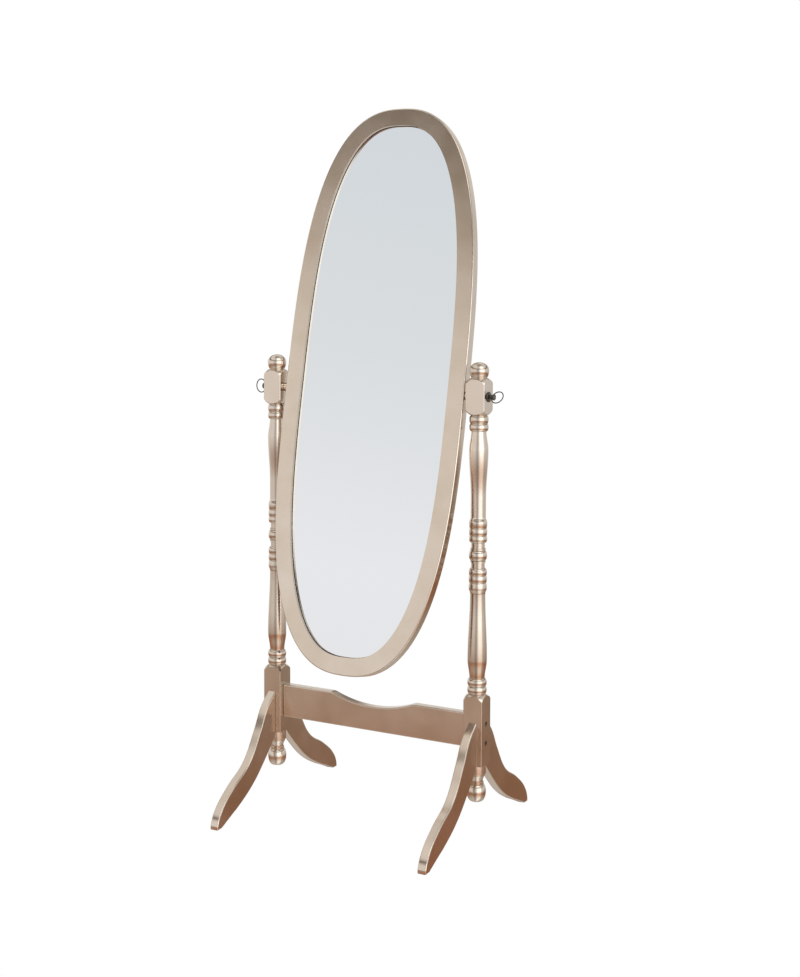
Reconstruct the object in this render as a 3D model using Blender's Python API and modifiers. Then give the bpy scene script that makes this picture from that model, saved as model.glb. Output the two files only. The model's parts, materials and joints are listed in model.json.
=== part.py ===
"""Cheval floor mirror: an oval mirror hung on two turned posts, on four shaped legs.

Run it with  blender --background --python part.py  or from Blender's text editor.
Metres, +Z up, the mirror's face towards -Y. The origin is on the floor, in the middle of the
four feet. Every piece that comes apart on a bench is an object of its own. The pieces of the
oval are children of the empty mirror_tilt_axis, and each knob's are children of its own empty.
"""

import math

import bmesh
import bpy
from mathutils import Matrix, Vector

# ---------------------------------------------------------------- sizes, in metres
GAP = 0.0003  # between two pieces that touch

# The oval
OVAL_WIDTH = 0.428
OVAL_HEIGHT = 1.201
END_FULLNESS = 2.5  # powers of the oval's curve: 2 is an ellipse's, more is fuller
SIDE_FULLNESS = 3.0
OVAL_RISE = 0.009  # the oval's centre above the tilt axis
FRAME_FACE = 0.0455
FRAME_THICKNESS = 0.024
FRAME_ROUND = 0.003
LIP_ROUND = 0.0045  # the inner edge of the frame's face
LIP_DEPTH = 0.008  # from the frame's front face to the glass
REBATE_WIDTH = 0.008
REBATE_PLAY = 0.001  # round the glass and the board
GLASS_THICKNESS = 0.003
BOARD_THICKNESS = 0.003
REST_TILT = math.radians(11.7)  # the top leans back

# The clips that hold the board, and their screws
CLIP_PLACES = (0.095, 0.25, 0.405, 0.595, 0.75, 0.905)  # shares of the way round the oval
CLIP_WIDTH = 0.014
CLIP_PLATE = 0.0012
CLIP_FOOT = 0.014
CLIP_TOE = 0.010
CLIP_OFFSET = 0.0015  # from the rebate's wall to the clip's riser
CLIP_SCREW_INSET = 0.007
CLIP_SCREW_RADIUS = 0.0015
CLIP_SCREW_LENGTH = 0.012
CLIP_HEAD_RADIUS = 0.0035
CLIP_HEAD_HEIGHT = 0.002
CLIP_HEAD_FLAT = 0.0019

# The posts: turned from square stock, so their radii are shares of its side
POST_SIZE = 0.0425
POST_EDGE_ROUND = 0.002
POST_SIDE_GAP = 0.0082  # from the oval's edge to a post
HEAD_BLOCK_HEIGHT = 0.0525
LOWER_BLOCK_BOTTOM = 0.1505
LOWER_BLOCK_HEIGHT = 0.1345
BLOCK_DOME_HEIGHT = 0.0245  # of the dome that scallops the ends of a block
BLOCK_DOME_MARGIN = 0.0021  # of its radius, beyond a block's corners
TURNED_RADIUS = 0.466 * POST_SIZE  # beads next to the blocks, and the fullest part of the vases
MIDDLE_RADIUS = 0.438 * POST_SIZE  # beads of the middle group
WAIST_RADIUS = 0.367 * POST_SIZE
WAIST_LENGTH = 0.0415  # the straight part of the upper shaft, above the middle group
UPPER_VASE_DROP = 0.040  # from the beads down to the fullest part of the upper vase
LOWER_VASE_RISE = 0.038  # from the beads up to the fullest part of the lower vase
NECK_RADIUS = 0.329 * POST_SIZE
NECK_RING_RADIUS = 0.372 * POST_SIZE
NECK_RING_DROP = 0.0115  # from the bead above to the ring next to the middle ball
GROOVE_RADIUS = 0.400 * POST_SIZE
SEAM = 0.0005  # between a bead and the dome next to it
BEAD_HEIGHT = 0.0160
MIDDLE_BEAD_HEIGHT = 0.0150
MIDDLE_BULB_HEIGHT = 0.0230
MIDDLE_BULB_FULLEST = 0.0113  # from its groove
MIDDLE_BALL_HEIGHT = 0.0210
MIDDLE_NECK_HEIGHT = 0.0155
BALL_RADIUS = 0.478 * POST_SIZE
BALL_CROWN = 0.0170  # from the ball's fullest part up to its top
BALL_BASE = 0.0145  # and down to the block's dome
BALL_NECK_RADIUS = 0.376 * POST_SIZE

# The foot turnings under the posts
FINIAL_DROP = 0.078
FINIAL_CAP_HEIGHT = 0.0205
FINIAL_CAP_RADIUS = 0.462 * POST_SIZE
FINIAL_CAP_ROUND = 0.002
FINIAL_NECK_RADIUS = 0.318 * POST_SIZE
FINIAL_RING_RADIUS = 0.355 * POST_SIZE
FINIAL_RING_TOP = 0.0050  # above the bulb
FINIAL_RING_BOTTOM = 0.0015
FINIAL_BULB_RADIUS = 0.468 * POST_SIZE
FINIAL_BULB_HEIGHT = 0.036
FINIAL_FULLEST = 0.55  # share of the bulb's height
FINIAL_SOLE_RADIUS = 0.235 * POST_SIZE
TENON_RADIUS = 0.006
TENON_LENGTH = 0.018

# The legs
LEG_REACH = 0.2215  # from the post's face to the toe
LEG_TOP = 0.240
LEG_THROAT = 0.142  # where a leg's inner curve meets the post
LEG_THICKNESS = 0.0193
LEG_ROUND = 0.0025
SOLE_LENGTH = 0.017
TOE_ROUND = 0.0015
DOWEL_RADIUS = 0.004
DOWEL_LENGTH = 0.034
DOWEL_IN_POST = 0.014
DOWEL_HEIGHTS = (0.178, 0.219)

# The stretcher between the posts
STRETCHER_TOP = 0.2553
STRETCHER_HEIGHT = 0.071
STRETCHER_THICKNESS = 0.0193
STRETCHER_ROUND = 0.0025
DIP_HALF_WIDTH = 0.098
DIP_DEPTH = 0.0187
DIP_FILLET = 0.030
SWING_CLEARANCE = 0.0433  # from the stretcher's top to the oval's end as it swings past

# The bolts of the stretcher
BOLT_HEIGHTS = (0.1957, 0.2357)
BOLT_RADIUS = 0.003
BOLT_HEAD_RADIUS = 0.005
BOLT_HEAD_HEIGHT = 0.006
BOLT_SOCKET_RADIUS = 0.0028
BOLT_SOCKET_DEPTH = 0.003
BOLT_SINK = 0.0018  # from the post's face to the bolt's head
BOLT_END = 0.010  # beyond the barrel nut
NUT_RADIUS = 0.005
NUT_LENGTH = 0.013
NUT_INSET = 0.030  # from the end of the stretcher

# The knobs that the oval hangs on
STUD_RADIUS = 0.003
STUD_IN_FRAME = 0.016
INSERT_WALL = 0.0012
INSERT_LENGTH = 0.018
SPACER_RADIUS = 0.009
WASHER_RADIUS = 0.0106
WASHER_RIM = 0.0010
WASHER_DOME = 0.0028
STEM_RADIUS = 0.0048
KNOB_LENGTH = 0.0135  # from the post's face to the knob's end
COLLAR_RADIUS = 0.0064
COLLAR_LENGTH = 0.0028
COLLAR_RIM = 0.0020
COLLAR_DISH = 0.0006
RING_ALONG = 0.026  # the ring's size along the stud
RING_ACROSS = 0.031
RING_WIRE = 0.00115
RING_REACH = 0.0325  # from the post's face to the ring's far side
LEFT_RING_TURN = math.radians(0)
RIGHT_RING_TURN = math.radians(-43)

# Small details
TURNED_EDGE = 0.0006  # chamfer on the ends of turned metal
WOOD_EDGE = 0.0008
CUT_OVER = 0.002  # how far a hole's cutter stands out of its mouth

# Fineness
OVAL_POINTS = 80
POST_STEPS = 16
ROUND_STEPS = 14
BORE_STEPS = 12
RING_POINTS = 24

# ---------------------------------------------------------------- what follows from them
PIVOT_HEIGHT = STRETCHER_TOP + SWING_CLEARANCE + OVAL_HEIGHT / 2 + OVAL_RISE
HALF_OVAL = OVAL_WIDTH / 2
POST_INNER = HALF_OVAL + POST_SIDE_GAP
POST_X = POST_INNER + POST_SIZE / 2
POST_OUTER = POST_INNER + POST_SIZE
FRAME_FRONT = -FRAME_THICKNESS / 2
FRAME_BACK = FRAME_THICKNESS / 2
GLASS_FRONT = FRAME_FRONT + LIP_DEPTH + GAP
BOARD_FRONT = GLASS_FRONT + GLASS_THICKNESS + GAP
BOARD_BACK = BOARD_FRONT + BOARD_THICKNESS
REBATE_EDGE = FRAME_FACE - REBATE_WIDTH  # in from the oval's outer edge
HEAD_BLOCK_TOP = PIVOT_HEIGHT + HEAD_BLOCK_HEIGHT / 2
HEAD_BLOCK_BOTTOM = PIVOT_HEIGHT - HEAD_BLOCK_HEIGHT / 2
LOWER_BLOCK_TOP = LOWER_BLOCK_BOTTOM + LOWER_BLOCK_HEIGHT
BLOCK_CORNER_RADIUS = POST_SIZE / math.sqrt(2) - POST_EDGE_ROUND * (math.sqrt(2) - 1)
BLOCK_DOME_RADIUS = BLOCK_CORNER_RADIUS + BLOCK_DOME_MARGIN
INSERT_RADIUS = STUD_RADIUS + GAP + INSERT_WALL
STRETCHER_END = POST_INNER - GAP
BOLT_HOLE_DEPTH = NUT_INSET + NUT_RADIUS + BOLT_END

# Name, red, green, blue, roughness and metallic value
LACQUER = ("champagne_lacquer", (0.52, 0.42, 0.34), 0.35, 0.6)
SILVERED = ("silvered_glass", (0.85, 0.87, 0.88), 0.03, 1.0)
BOARD = ("brown_hardboard", (0.24, 0.15, 0.09), 0.80, 0.0)
BLACK = ("black_steel", (0.03, 0.03, 0.03), 0.35, 0.9)
ZINC = ("zinc_plated_steel", (0.60, 0.60, 0.58), 0.35, 1.0)
BRASS = ("brass", (0.70, 0.52, 0.25), 0.35, 1.0)
BEECH = ("beech", (0.62, 0.44, 0.28), 0.60, 0.0)


# ---------------------------------------------------------------- scene and helpers
def clear_scene():
    for obj in list(bpy.data.objects):
        bpy.data.objects.remove(obj, do_unlink=True)
    for collection in list(bpy.data.collections):
        bpy.data.collections.remove(collection)


def new_collection(name, parent=None):
    collection = bpy.data.collections.new(name)
    (parent or bpy.context.scene.collection).children.link(collection)
    return collection


def material(finish):
    name, colour, roughness, metallic = finish
    made = bpy.data.materials.get(name) or bpy.data.materials.new(name)
    made.use_nodes = True
    shader = made.node_tree.nodes["Principled BSDF"]
    shader.inputs["Base Color"].default_value = (*colour, 1.0)
    shader.inputs["Roughness"].default_value = roughness
    shader.inputs["Metallic"].default_value = metallic
    return made


def add_piece(name, data, finish, parent=None):
    """A piece of the mirror, as an object in its collection."""
    obj = bpy.data.objects.new(name, data)
    pieces.objects.link(obj)
    obj.parent = parent
    data.materials.clear()
    data.materials.append(material(finish))
    return obj


def add_helper(name, data, collection, matrix):
    """An object that shapes others, and is no piece itself."""
    obj = bpy.data.objects.new(name, data)
    collection.objects.link(obj)
    obj.matrix_world = matrix
    obj.hide_render = True
    obj.display_type = "WIRE"
    return obj


def add_cutter(name, data, target, matrix):
    """A helper that the target's Boolean takes away."""
    group_name = "cut_from_" + target
    group = bpy.data.collections.get(group_name)
    if group is None:
        group = new_collection(group_name, cutters)
    return add_helper(name, data, group, matrix)


def cut(obj):
    """Takes all of an object's cutters away from it."""
    boolean = obj.modifiers.new("cuts", "BOOLEAN")
    boolean.operation = "DIFFERENCE"
    boolean.operand_type = "COLLECTION"
    boolean.collection = bpy.data.collections["cut_from_" + obj.name]
    boolean.solver = "EXACT"


def aim(place, axis, roll=0.0):
    """A matrix that puts local Z along axis, at place, after a roll about it."""
    turn = Vector(axis).to_track_quat("Z", "Y").to_matrix().to_4x4()
    return Matrix.Translation(place) @ turn @ Matrix.Rotation(roll, 4, "Z")


def profile_mesh(name, profile):
    """A chain of edges in the XZ plane, from (radius, height) points."""
    mesh = bpy.data.meshes.new(name)
    points = [(radius, 0.0, height) for radius, height in profile]
    mesh.from_pydata(points, [(i, i + 1) for i in range(len(points) - 1)], [])
    return mesh


def screw(obj, steps):
    """Turns an object's profile about its Z axis."""
    spin = obj.modifiers.new("turning", "SCREW")
    spin.steps = steps
    spin.render_steps = steps
    spin.use_merge_vertices = True
    spin.merge_threshold = 0.00001
    spin.use_smooth_shade = True


def turned_piece(name, profile, finish, parent, matrix, steps=ROUND_STEPS):
    obj = add_piece(name, profile_mesh(name, profile), finish, parent)
    obj.matrix_local = matrix
    screw(obj, steps)
    return obj


def bore(target, name, matrix, *steps):
    """A round hole along local -Z from matrix, as (radius, depth) steps from its mouth down."""
    profile = [(0.0, CUT_OVER)]
    top = CUT_OVER
    for radius, depth in steps:
        profile += [(radius, top), (radius, -depth)]
        top = -depth
    profile.append((0.0, top))
    hole = add_cutter(name, profile_mesh(name, profile), target, matrix)
    screw(hole, BORE_STEPS)
    return hole


def outline_mesh(name, splines, half_depth, rounding=0.0, smooth=False):
    """A flat outline, or several, made a solid from -half_depth to half_depth along local Z.

    A spline is a list of points, or of (x, y, handle) when smooth. The rounding stays inside
    the outline.
    """
    curve = bpy.data.curves.new(name, "CURVE")
    curve.dimensions = "2D"
    curve.fill_mode = "BOTH"
    curve.extrude = half_depth - rounding
    curve.bevel_depth = rounding
    curve.bevel_resolution = 1
    curve.offset = -rounding
    curve.resolution_u = 3
    for points in splines:
        if smooth:
            spline = curve.splines.new("BEZIER")
            spline.bezier_points.add(len(points) - 1)
            for knot, (x, y, handle) in zip(spline.bezier_points, points):
                knot.co = (x, y, 0.0)
                knot.handle_left_type = handle
                knot.handle_right_type = handle
        else:
            spline = curve.splines.new("POLY")
            spline.points.add(len(points) - 1)
            for knot, (x, y) in zip(spline.points, points):
                knot.co = (x, y, 0.0, 1.0)
        spline.use_cyclic_u = True
    return mesh_of_curve(name, curve)


def mesh_of_curve(name, curve):
    """The curve's own solid as a mesh, with its caps welded on."""
    helper = bpy.data.objects.new(name + "_outline", curve)
    bpy.context.scene.collection.objects.link(helper)
    graph = bpy.context.evaluated_depsgraph_get()
    mesh = bpy.data.meshes.new_from_object(helper.evaluated_get(graph))
    mesh.name = name
    bpy.data.objects.remove(helper, do_unlink=True)
    bpy.data.curves.remove(curve)
    shape = bmesh.new()
    shape.from_mesh(mesh)
    bmesh.ops.remove_doubles(shape, verts=shape.verts, dist=0.00001)
    bmesh.ops.recalc_face_normals(shape, faces=shape.faces)
    shape.to_mesh(mesh)
    shape.free()
    mesh.shade_smooth()
    mesh.set_sharp_from_angle(angle=math.radians(40))
    return mesh


def box_mesh(name, low, high):
    mesh = bpy.data.meshes.new(name)
    shape = bmesh.new()
    bmesh.ops.create_cube(shape, size=1.0)
    low, high = Vector(low), Vector(high)
    for vert in shape.verts:
        vert.co = (low + high) / 2 + vert.co * (high - low)
    shape.to_mesh(mesh)
    shape.free()
    return mesh


# ---------------------------------------------------------------- curves that pieces share
def oval_curve(inset, count):
    """Points round the oval, this far inside its outer edge, evenly spaced from its +X side."""
    fine = 2000
    quarter = []
    for i in range(fine + 1):
        angle = math.pi / 2 * i / fine
        x = HALF_OVAL * math.cos(angle) ** (2 / END_FULLNESS) if i < fine else 0.0
        y = OVAL_HEIGHT / 2 * math.sin(angle) ** (2 / SIDE_FULLNESS)
        quarter.append(Vector((x, y)))
    lengths = [0.0]
    for a, b in zip(quarter, quarter[1:]):
        lengths.append(lengths[-1] + (b - a).length)
    side = count // 4
    points = []
    at = 0
    for i in range(side + 1):
        while at < fine and lengths[at] < lengths[-1] * i / side:
            at += 1
        points.append(quarter[at])
    ring = points + [Vector((-p.x, p.y)) for p in reversed(points[:-1])]
    ring += [Vector((-p.x, -p.y)) for p in points[1:]]
    ring += [Vector((p.x, -p.y)) for p in reversed(points[1:-1])]
    inside = []
    for i, point in enumerate(ring):
        along = (ring[(i + 1) % len(ring)] - ring[i - 1]).normalized()
        inside.append(point + inset * Vector((-along.y, along.x)))
    return inside


def oval_place(share, inset):
    """A point this share of the way round the oval, and the direction towards its inside."""
    ring = oval_curve(0.0, OVAL_POINTS)
    i = round(share * len(ring))
    along = (ring[(i + 1) % len(ring)] - ring[i - 1]).normalized()
    inward = Vector((-along.y, along.x))
    return ring[i] + inset * inward, inward


def arc(r0, z0, r1, z1, steps, hollow=False):
    """A quarter of an ellipse between two (radius, height) points, which it leaves out at its end.

    It leaves the first point level (along the radius), or upright when hollow.
    """
    points = []
    for i in range(steps):
        angle = math.pi / 2 * i / steps
        across, down = math.sin(angle), 1 - math.cos(angle)
        if hollow:
            across, down = down, across
        points.append((r0 + (r1 - r0) * across, z0 + (z1 - z0) * down))
    return points


def bead(top, height, radius, upper, lower, steps=2):
    """A bead from its top down: out from the upper radius, round, and in to the lower one."""
    middle = top - height / 2
    outwards = arc(upper, top, radius, middle, steps)
    return outwards + arc(radius, middle, lower, top - height, steps, hollow=True)


def swell(r0, z0, r1, z1, steps):
    """A soft S from one (radius, height) to another, without its end."""
    points = []
    for i in range(steps):
        share = i / steps
        ease = (1 - math.cos(math.pi * share)) / 2
        points.append((r0 + (r1 - r0) * ease, z0 + (z1 - z0) * share))
    return points


def dome_height(radius):
    return BLOCK_DOME_HEIGHT * math.sqrt(1 - (radius / BLOCK_DOME_RADIUS) ** 2)


def block_dome(corner, upward, neck):
    """The turned shoulder of a square block, whose corners are cut at this height."""
    sign = 1 if upward else -1
    base = corner - sign * dome_height(BLOCK_CORNER_RADIUS)
    points = []
    for share in (0.0, 0.3, 0.58, 0.79, 0.92, 1.0):
        radius = neck + (BLOCK_DOME_RADIUS - neck) * share
        points.append((radius, base + sign * dome_height(radius)))
    return points if upward else points[::-1]


def block_shoulder(corner, upward, neck):
    """Where the dome above or below a block meets the turning next to it."""
    points = block_dome(corner, upward, neck)
    return points[0][1] if upward else points[-1][1]


def top_ball(neck_top):
    """The ball on a post's head, from its top down to where it meets the block's dome."""
    widest = neck_top + BALL_BASE
    last = math.acos(BALL_NECK_RADIUS / BALL_RADIUS)
    stretch = BALL_BASE / math.sin(last)
    points = [(0.0, widest + BALL_CROWN)]
    for i in range(1, 6):
        angle = math.pi / 2 * (1 - i / 5)
        points.append((BALL_RADIUS * math.cos(angle), widest + BALL_CROWN * math.sin(angle)))
    for i in range(1, 4):
        angle = last * i / 4
        points.append((BALL_RADIUS * math.cos(angle), widest - stretch * math.sin(angle)))
    return points


def middle_group(middle):
    """The ball in the middle of a post, with a ringed neck, two beads and a bulb each way."""
    drop = NECK_RING_DROP
    neck_end = MIDDLE_NECK_HEIGHT - SEAM
    neck = [(NECK_RADIUS, 0.0), (NECK_RADIUS, drop - SEAM)]
    neck += [(NECK_RING_RADIUS, drop), (NECK_RING_RADIUS, neck_end)]
    neck_top = middle + MIDDLE_BALL_HEIGHT / 2 + MIDDLE_NECK_HEIGHT
    height, full = MIDDLE_BEAD_HEIGHT, MIDDLE_RADIUS
    groove = neck_top + 2 * height
    widest = groove + MIDDLE_BULB_FULLEST
    points = swell(WAIST_RADIUS, groove + MIDDLE_BULB_HEIGHT, full, widest, 3)
    points += arc(full, widest, GROOVE_RADIUS, groove, 2, hollow=True)
    points += bead(groove, height, full, GROOVE_RADIUS, GROOVE_RADIUS)
    points += bead(groove - height, height, full, GROOVE_RADIUS, NECK_RADIUS)
    points += [(radius, neck_top - down) for radius, down in neck]
    ball_top = middle + MIDDLE_BALL_HEIGHT / 2
    points += bead(ball_top, MIDDLE_BALL_HEIGHT, full, NECK_RADIUS, NECK_RADIUS, 3)
    neck_bottom = 2 * middle - neck_top
    points += [(radius, neck_bottom + down) for radius, down in reversed(neck)]
    groove = neck_bottom - 2 * height
    widest = groove - MIDDLE_BULB_FULLEST
    points += bead(neck_bottom, height, full, NECK_RADIUS, GROOVE_RADIUS)
    points += bead(neck_bottom - height, height, full, GROOVE_RADIUS, GROOVE_RADIUS)
    points += arc(GROOVE_RADIUS, groove, full, widest, 2)
    points += swell(full, widest, WAIST_RADIUS, groove - MIDDLE_BULB_HEIGHT, 3)
    return points


def post_profile():
    """The post's turned outline, from the top of its ball down to the lower block's flat end."""
    points = top_ball(block_shoulder(HEAD_BLOCK_TOP, True, BALL_NECK_RADIUS))
    points += block_dome(HEAD_BLOCK_TOP, True, BALL_NECK_RADIUS)
    points += block_dome(HEAD_BLOCK_BOTTOM, False, GROOVE_RADIUS)
    top = block_shoulder(HEAD_BLOCK_BOTTOM, False, GROOVE_RADIUS) - SEAM
    points += bead(top, BEAD_HEIGHT, TURNED_RADIUS, GROOVE_RADIUS, GROOVE_RADIUS)
    points += bead(top - BEAD_HEIGHT, BEAD_HEIGHT, TURNED_RADIUS, GROOVE_RADIUS, WAIST_RADIUS)

    vase_top = top - 2 * BEAD_HEIGHT
    foot = block_shoulder(LOWER_BLOCK_TOP, True, GROOVE_RADIUS) + SEAM
    vase_bottom = foot + 2 * BEAD_HEIGHT
    middle = (vase_top + vase_bottom) / 2
    half_group = MIDDLE_BALL_HEIGHT / 2 + MIDDLE_NECK_HEIGHT
    half_group += 2 * MIDDLE_BEAD_HEIGHT + MIDDLE_BULB_HEIGHT
    waist = middle + half_group

    full = vase_top - UPPER_VASE_DROP
    points += swell(WAIST_RADIUS, vase_top, TURNED_RADIUS, full, 3)
    points += swell(TURNED_RADIUS, full, WAIST_RADIUS, waist + WAIST_LENGTH, 4)
    points.append((WAIST_RADIUS, waist + WAIST_LENGTH))
    points += middle_group(middle)
    full = vase_bottom + LOWER_VASE_RISE
    points += swell(WAIST_RADIUS, middle - half_group, TURNED_RADIUS, full, 5)
    points += swell(TURNED_RADIUS, full, WAIST_RADIUS, vase_bottom, 3)

    points += bead(vase_bottom, BEAD_HEIGHT, TURNED_RADIUS, WAIST_RADIUS, GROOVE_RADIUS)
    points += bead(foot + BEAD_HEIGHT, BEAD_HEIGHT, TURNED_RADIUS, GROOVE_RADIUS, GROOVE_RADIUS)
    points += block_dome(LOWER_BLOCK_TOP, True, GROOVE_RADIUS)
    points += [(BLOCK_DOME_RADIUS, LOWER_BLOCK_BOTTOM), (0.0, LOWER_BLOCK_BOTTOM)]
    return points


def leg_outline():
    """A leg seen from its side: how far out from the post's face, height and kind of knot.

    Its two long S curves are shares of the reach, and of the top or of the throat.
    """
    reach, top, throat = LEG_REACH, LEG_TOP, LEG_THROAT
    outer = [(0.14, 0.885), (0.274, 0.683), (0.457, 0.454), (0.73, 0.30), (0.927, 0.15), (0.99, 0.045)]
    inner = [(0.77, 0.108), (0.635, 0.20), (0.388, 0.425), (0.164, 0.735)]
    points = [(0.0, top, "VECTOR")]
    points += [(reach * out, top * up, "AUTO") for out, up in outer]
    points += [(reach - TOE_ROUND, 0.0, "VECTOR"), (reach - SOLE_LENGTH, 0.0, "VECTOR")]
    points += [(reach * out, throat * up, "AUTO") for out, up in inner]
    points.append((0.0, throat, "VECTOR"))
    return points


def stretcher_outline():
    """The stretcher seen from the front: straight shoulders, and a long dip filleted into them."""
    bow = (DIP_HALF_WIDTH**2 + DIP_DEPTH**2) / (2 * DIP_DEPTH)
    centre = STRETCHER_TOP - DIP_DEPTH + bow
    fillet_x = math.sqrt((bow + DIP_FILLET) ** 2 - (centre - STRETCHER_TOP + DIP_FILLET) ** 2)
    meet = math.atan2(fillet_x, centre - STRETCHER_TOP + DIP_FILLET)
    right = []
    for i in range(7):
        angle = meet * i / 6
        right.append((bow * math.sin(angle), centre - bow * math.cos(angle)))
    for i in range(1, 5):
        angle = meet * (1 - i / 4)
        drop = DIP_FILLET * (1 - math.cos(angle))
        right.append((fillet_x - DIP_FILLET * math.sin(angle), STRETCHER_TOP - drop))
    bottom = STRETCHER_TOP - STRETCHER_HEIGHT
    right += [(STRETCHER_END, STRETCHER_TOP), (STRETCHER_END, bottom)]
    return right + [(-x, z) for x, z in reversed(right) if x > 0]


# ---------------------------------------------------------------- the stand
def build_post(side, x):
    name = side + "_post"
    out = 1 if x > 0 else -1
    post = add_piece(name, profile_mesh(name, post_profile()), LACQUER)
    post.location = (x, 0.0, 0.0)
    screw(post, POST_STEPS)

    half = POST_SIZE / 2
    low = (-half, -half, LOWER_BLOCK_BOTTOM / 2)
    high = (half, half, PIVOT_HEIGHT + OVAL_HEIGHT / 2)
    stock = box_mesh(name + "_stock", low, high)
    square = add_helper(name + "_stock", stock, cutters, Matrix.Translation((x, 0.0, 0.0)))
    soften = square.modifiers.new("soft_edges", "BEVEL")
    soften.width = POST_EDGE_ROUND
    soften.segments = 2
    trim = post.modifiers.new("square_blocks", "BOOLEAN")
    trim.operation = "INTERSECT"
    trim.object = square
    trim.solver = "EXACT"

    pivot = (POST_OUTER * out, 0.0, PIVOT_HEIGHT)
    through = POST_SIZE + CUT_OVER
    bore(name, side + "_stud_bore", aim(pivot, (out, 0, 0)), (STUD_RADIUS + GAP, through))
    for label, height in zip(("lower", "upper"), BOLT_HEIGHTS):
        mouth = aim((POST_OUTER * out, 0.0, height), (out, 0, 0))
        head = (BOLT_HEAD_RADIUS + GAP, BOLT_SINK + BOLT_HEAD_HEIGHT + GAP)
        bore(name, f"{side}_{label}_bolt_bore", mouth, head, (BOLT_RADIUS + GAP, through))
    for leg, face in (("front", -1), ("rear", 1)):
        for label, height in zip(("lower", "upper"), DOWEL_HEIGHTS):
            mouth = aim((x, face * half, height), (0, face, 0))
            hole = (DOWEL_RADIUS + GAP, DOWEL_IN_POST + GAP)
            bore(name, f"{side}_{leg}_{label}_dowel_bore", mouth, hole)
    mouth = aim((x, 0.0, LOWER_BLOCK_BOTTOM), (0, 0, -1))
    bore(name, side + "_tenon_bore", mouth, (TENON_RADIUS + GAP, TENON_LENGTH + GAP))
    cut(post)


def finial_profile():
    """The foot turning: tenon, cap, neck with its ring, and bulb with a flat end."""
    tenon_top = LOWER_BLOCK_BOTTOM + TENON_LENGTH - GAP
    cap = LOWER_BLOCK_BOTTOM - GAP
    cap_end = cap - FINIAL_CAP_HEIGHT
    edge = FINIAL_CAP_ROUND
    bottom = LOWER_BLOCK_BOTTOM - FINIAL_DROP
    bulb = bottom + FINIAL_BULB_HEIGHT
    widest = bottom + FINIAL_FULLEST * FINIAL_BULB_HEIGHT
    ring_top = bulb + FINIAL_RING_TOP
    ring_bottom = bulb + FINIAL_RING_BOTTOM
    points = [(0.0, tenon_top), (TENON_RADIUS, tenon_top), (TENON_RADIUS, cap)]
    points += [(FINIAL_CAP_RADIUS - edge, cap), (FINIAL_CAP_RADIUS, cap - edge)]
    points += [(FINIAL_CAP_RADIUS, cap_end + edge)]
    points += swell(FINIAL_CAP_RADIUS - edge, cap_end, FINIAL_NECK_RADIUS, ring_top + edge, 3)
    points += [(FINIAL_NECK_RADIUS, ring_top + SEAM), (FINIAL_RING_RADIUS, ring_top - SEAM)]
    points += [(FINIAL_RING_RADIUS, ring_bottom + SEAM), (FINIAL_NECK_RADIUS, ring_bottom - SEAM)]
    points += arc(FINIAL_NECK_RADIUS, bulb, FINIAL_BULB_RADIUS, widest, 3)
    points += arc(FINIAL_BULB_RADIUS, widest, FINIAL_SOLE_RADIUS, bottom, 4, hollow=True)
    points += [(FINIAL_SOLE_RADIUS, bottom), (0.0, bottom)]
    return points


def build_leg(side, x, label, face):
    """A leg on the front (face -1) or rear (face 1) of a post, with its two dowels."""
    name = f"{side}_{label}_leg"
    start = POST_SIZE / 2 + GAP
    mesh = outline_mesh(name, [leg_outline()], LEG_THICKNESS / 2, LEG_ROUND, smooth=True)
    leg = add_piece(name, mesh, LACQUER)
    # Local X runs outwards from the post, local Y upwards and local Z across the board.
    leg.matrix_world = Matrix.Translation((x, face * start, 0.0)) @ Matrix(
        ((0, 0, face, 0), (face, 0, 0, 0), (0, 1, 0, 0), (0, 0, 0, 1))
    )
    in_leg = DOWEL_LENGTH - DOWEL_IN_POST
    for part, height in zip(("lower", "upper"), DOWEL_HEIGHTS):
        mouth = aim((x, face * start, height), (0, -face, 0))
        bore(name, f"{name}_{part}_bore", mouth, (DOWEL_RADIUS + GAP, in_leg + GAP))
        low = POST_SIZE / 2 - DOWEL_IN_POST + GAP
        edge = WOOD_EDGE
        profile = [(0.0, 0.0), (DOWEL_RADIUS - edge, 0.0), (DOWEL_RADIUS, -edge)]
        end = GAP - DOWEL_LENGTH
        profile += [(DOWEL_RADIUS, end + edge), (DOWEL_RADIUS - edge, end), (0.0, end)]
        place = aim((x, face * low, height), (0, -face, 0))
        turned_piece(f"{name}_{part}_dowel", profile, BEECH, None, place, BORE_STEPS)
    cut(leg)


def build_stretcher():
    name = "stretcher"
    mesh = outline_mesh(name, [stretcher_outline()], STRETCHER_THICKNESS / 2, STRETCHER_ROUND)
    stretcher = add_piece(name, mesh, LACQUER)
    stretcher.matrix_world = Matrix(((1, 0, 0, 0), (0, 0, -1, 0), (0, 1, 0, 0), (0, 0, 0, 1)))
    for side, out in (("left", -1), ("right", 1)):
        nut_x = out * (STRETCHER_END - NUT_INSET)
        for label, height in zip(("lower", "upper"), BOLT_HEIGHTS):
            mouth = aim((out * STRETCHER_END, 0.0, height), (out, 0, 0))
            bore(name, f"{side}_{label}_bolt_hole", mouth, (BOLT_RADIUS + GAP, BOLT_HOLE_DEPTH + GAP))
            mouth = aim((nut_x, STRETCHER_THICKNESS / 2, height), (0, 1, 0))
            deep = STRETCHER_THICKNESS / 2 + NUT_LENGTH / 2 + GAP
            bore(name, f"{side}_{label}_nut_hole", mouth, (NUT_RADIUS + GAP, deep))
            build_bolt(side, label, out, height)
            build_nut(side, label, nut_x, height)
    cut(stretcher)


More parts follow.
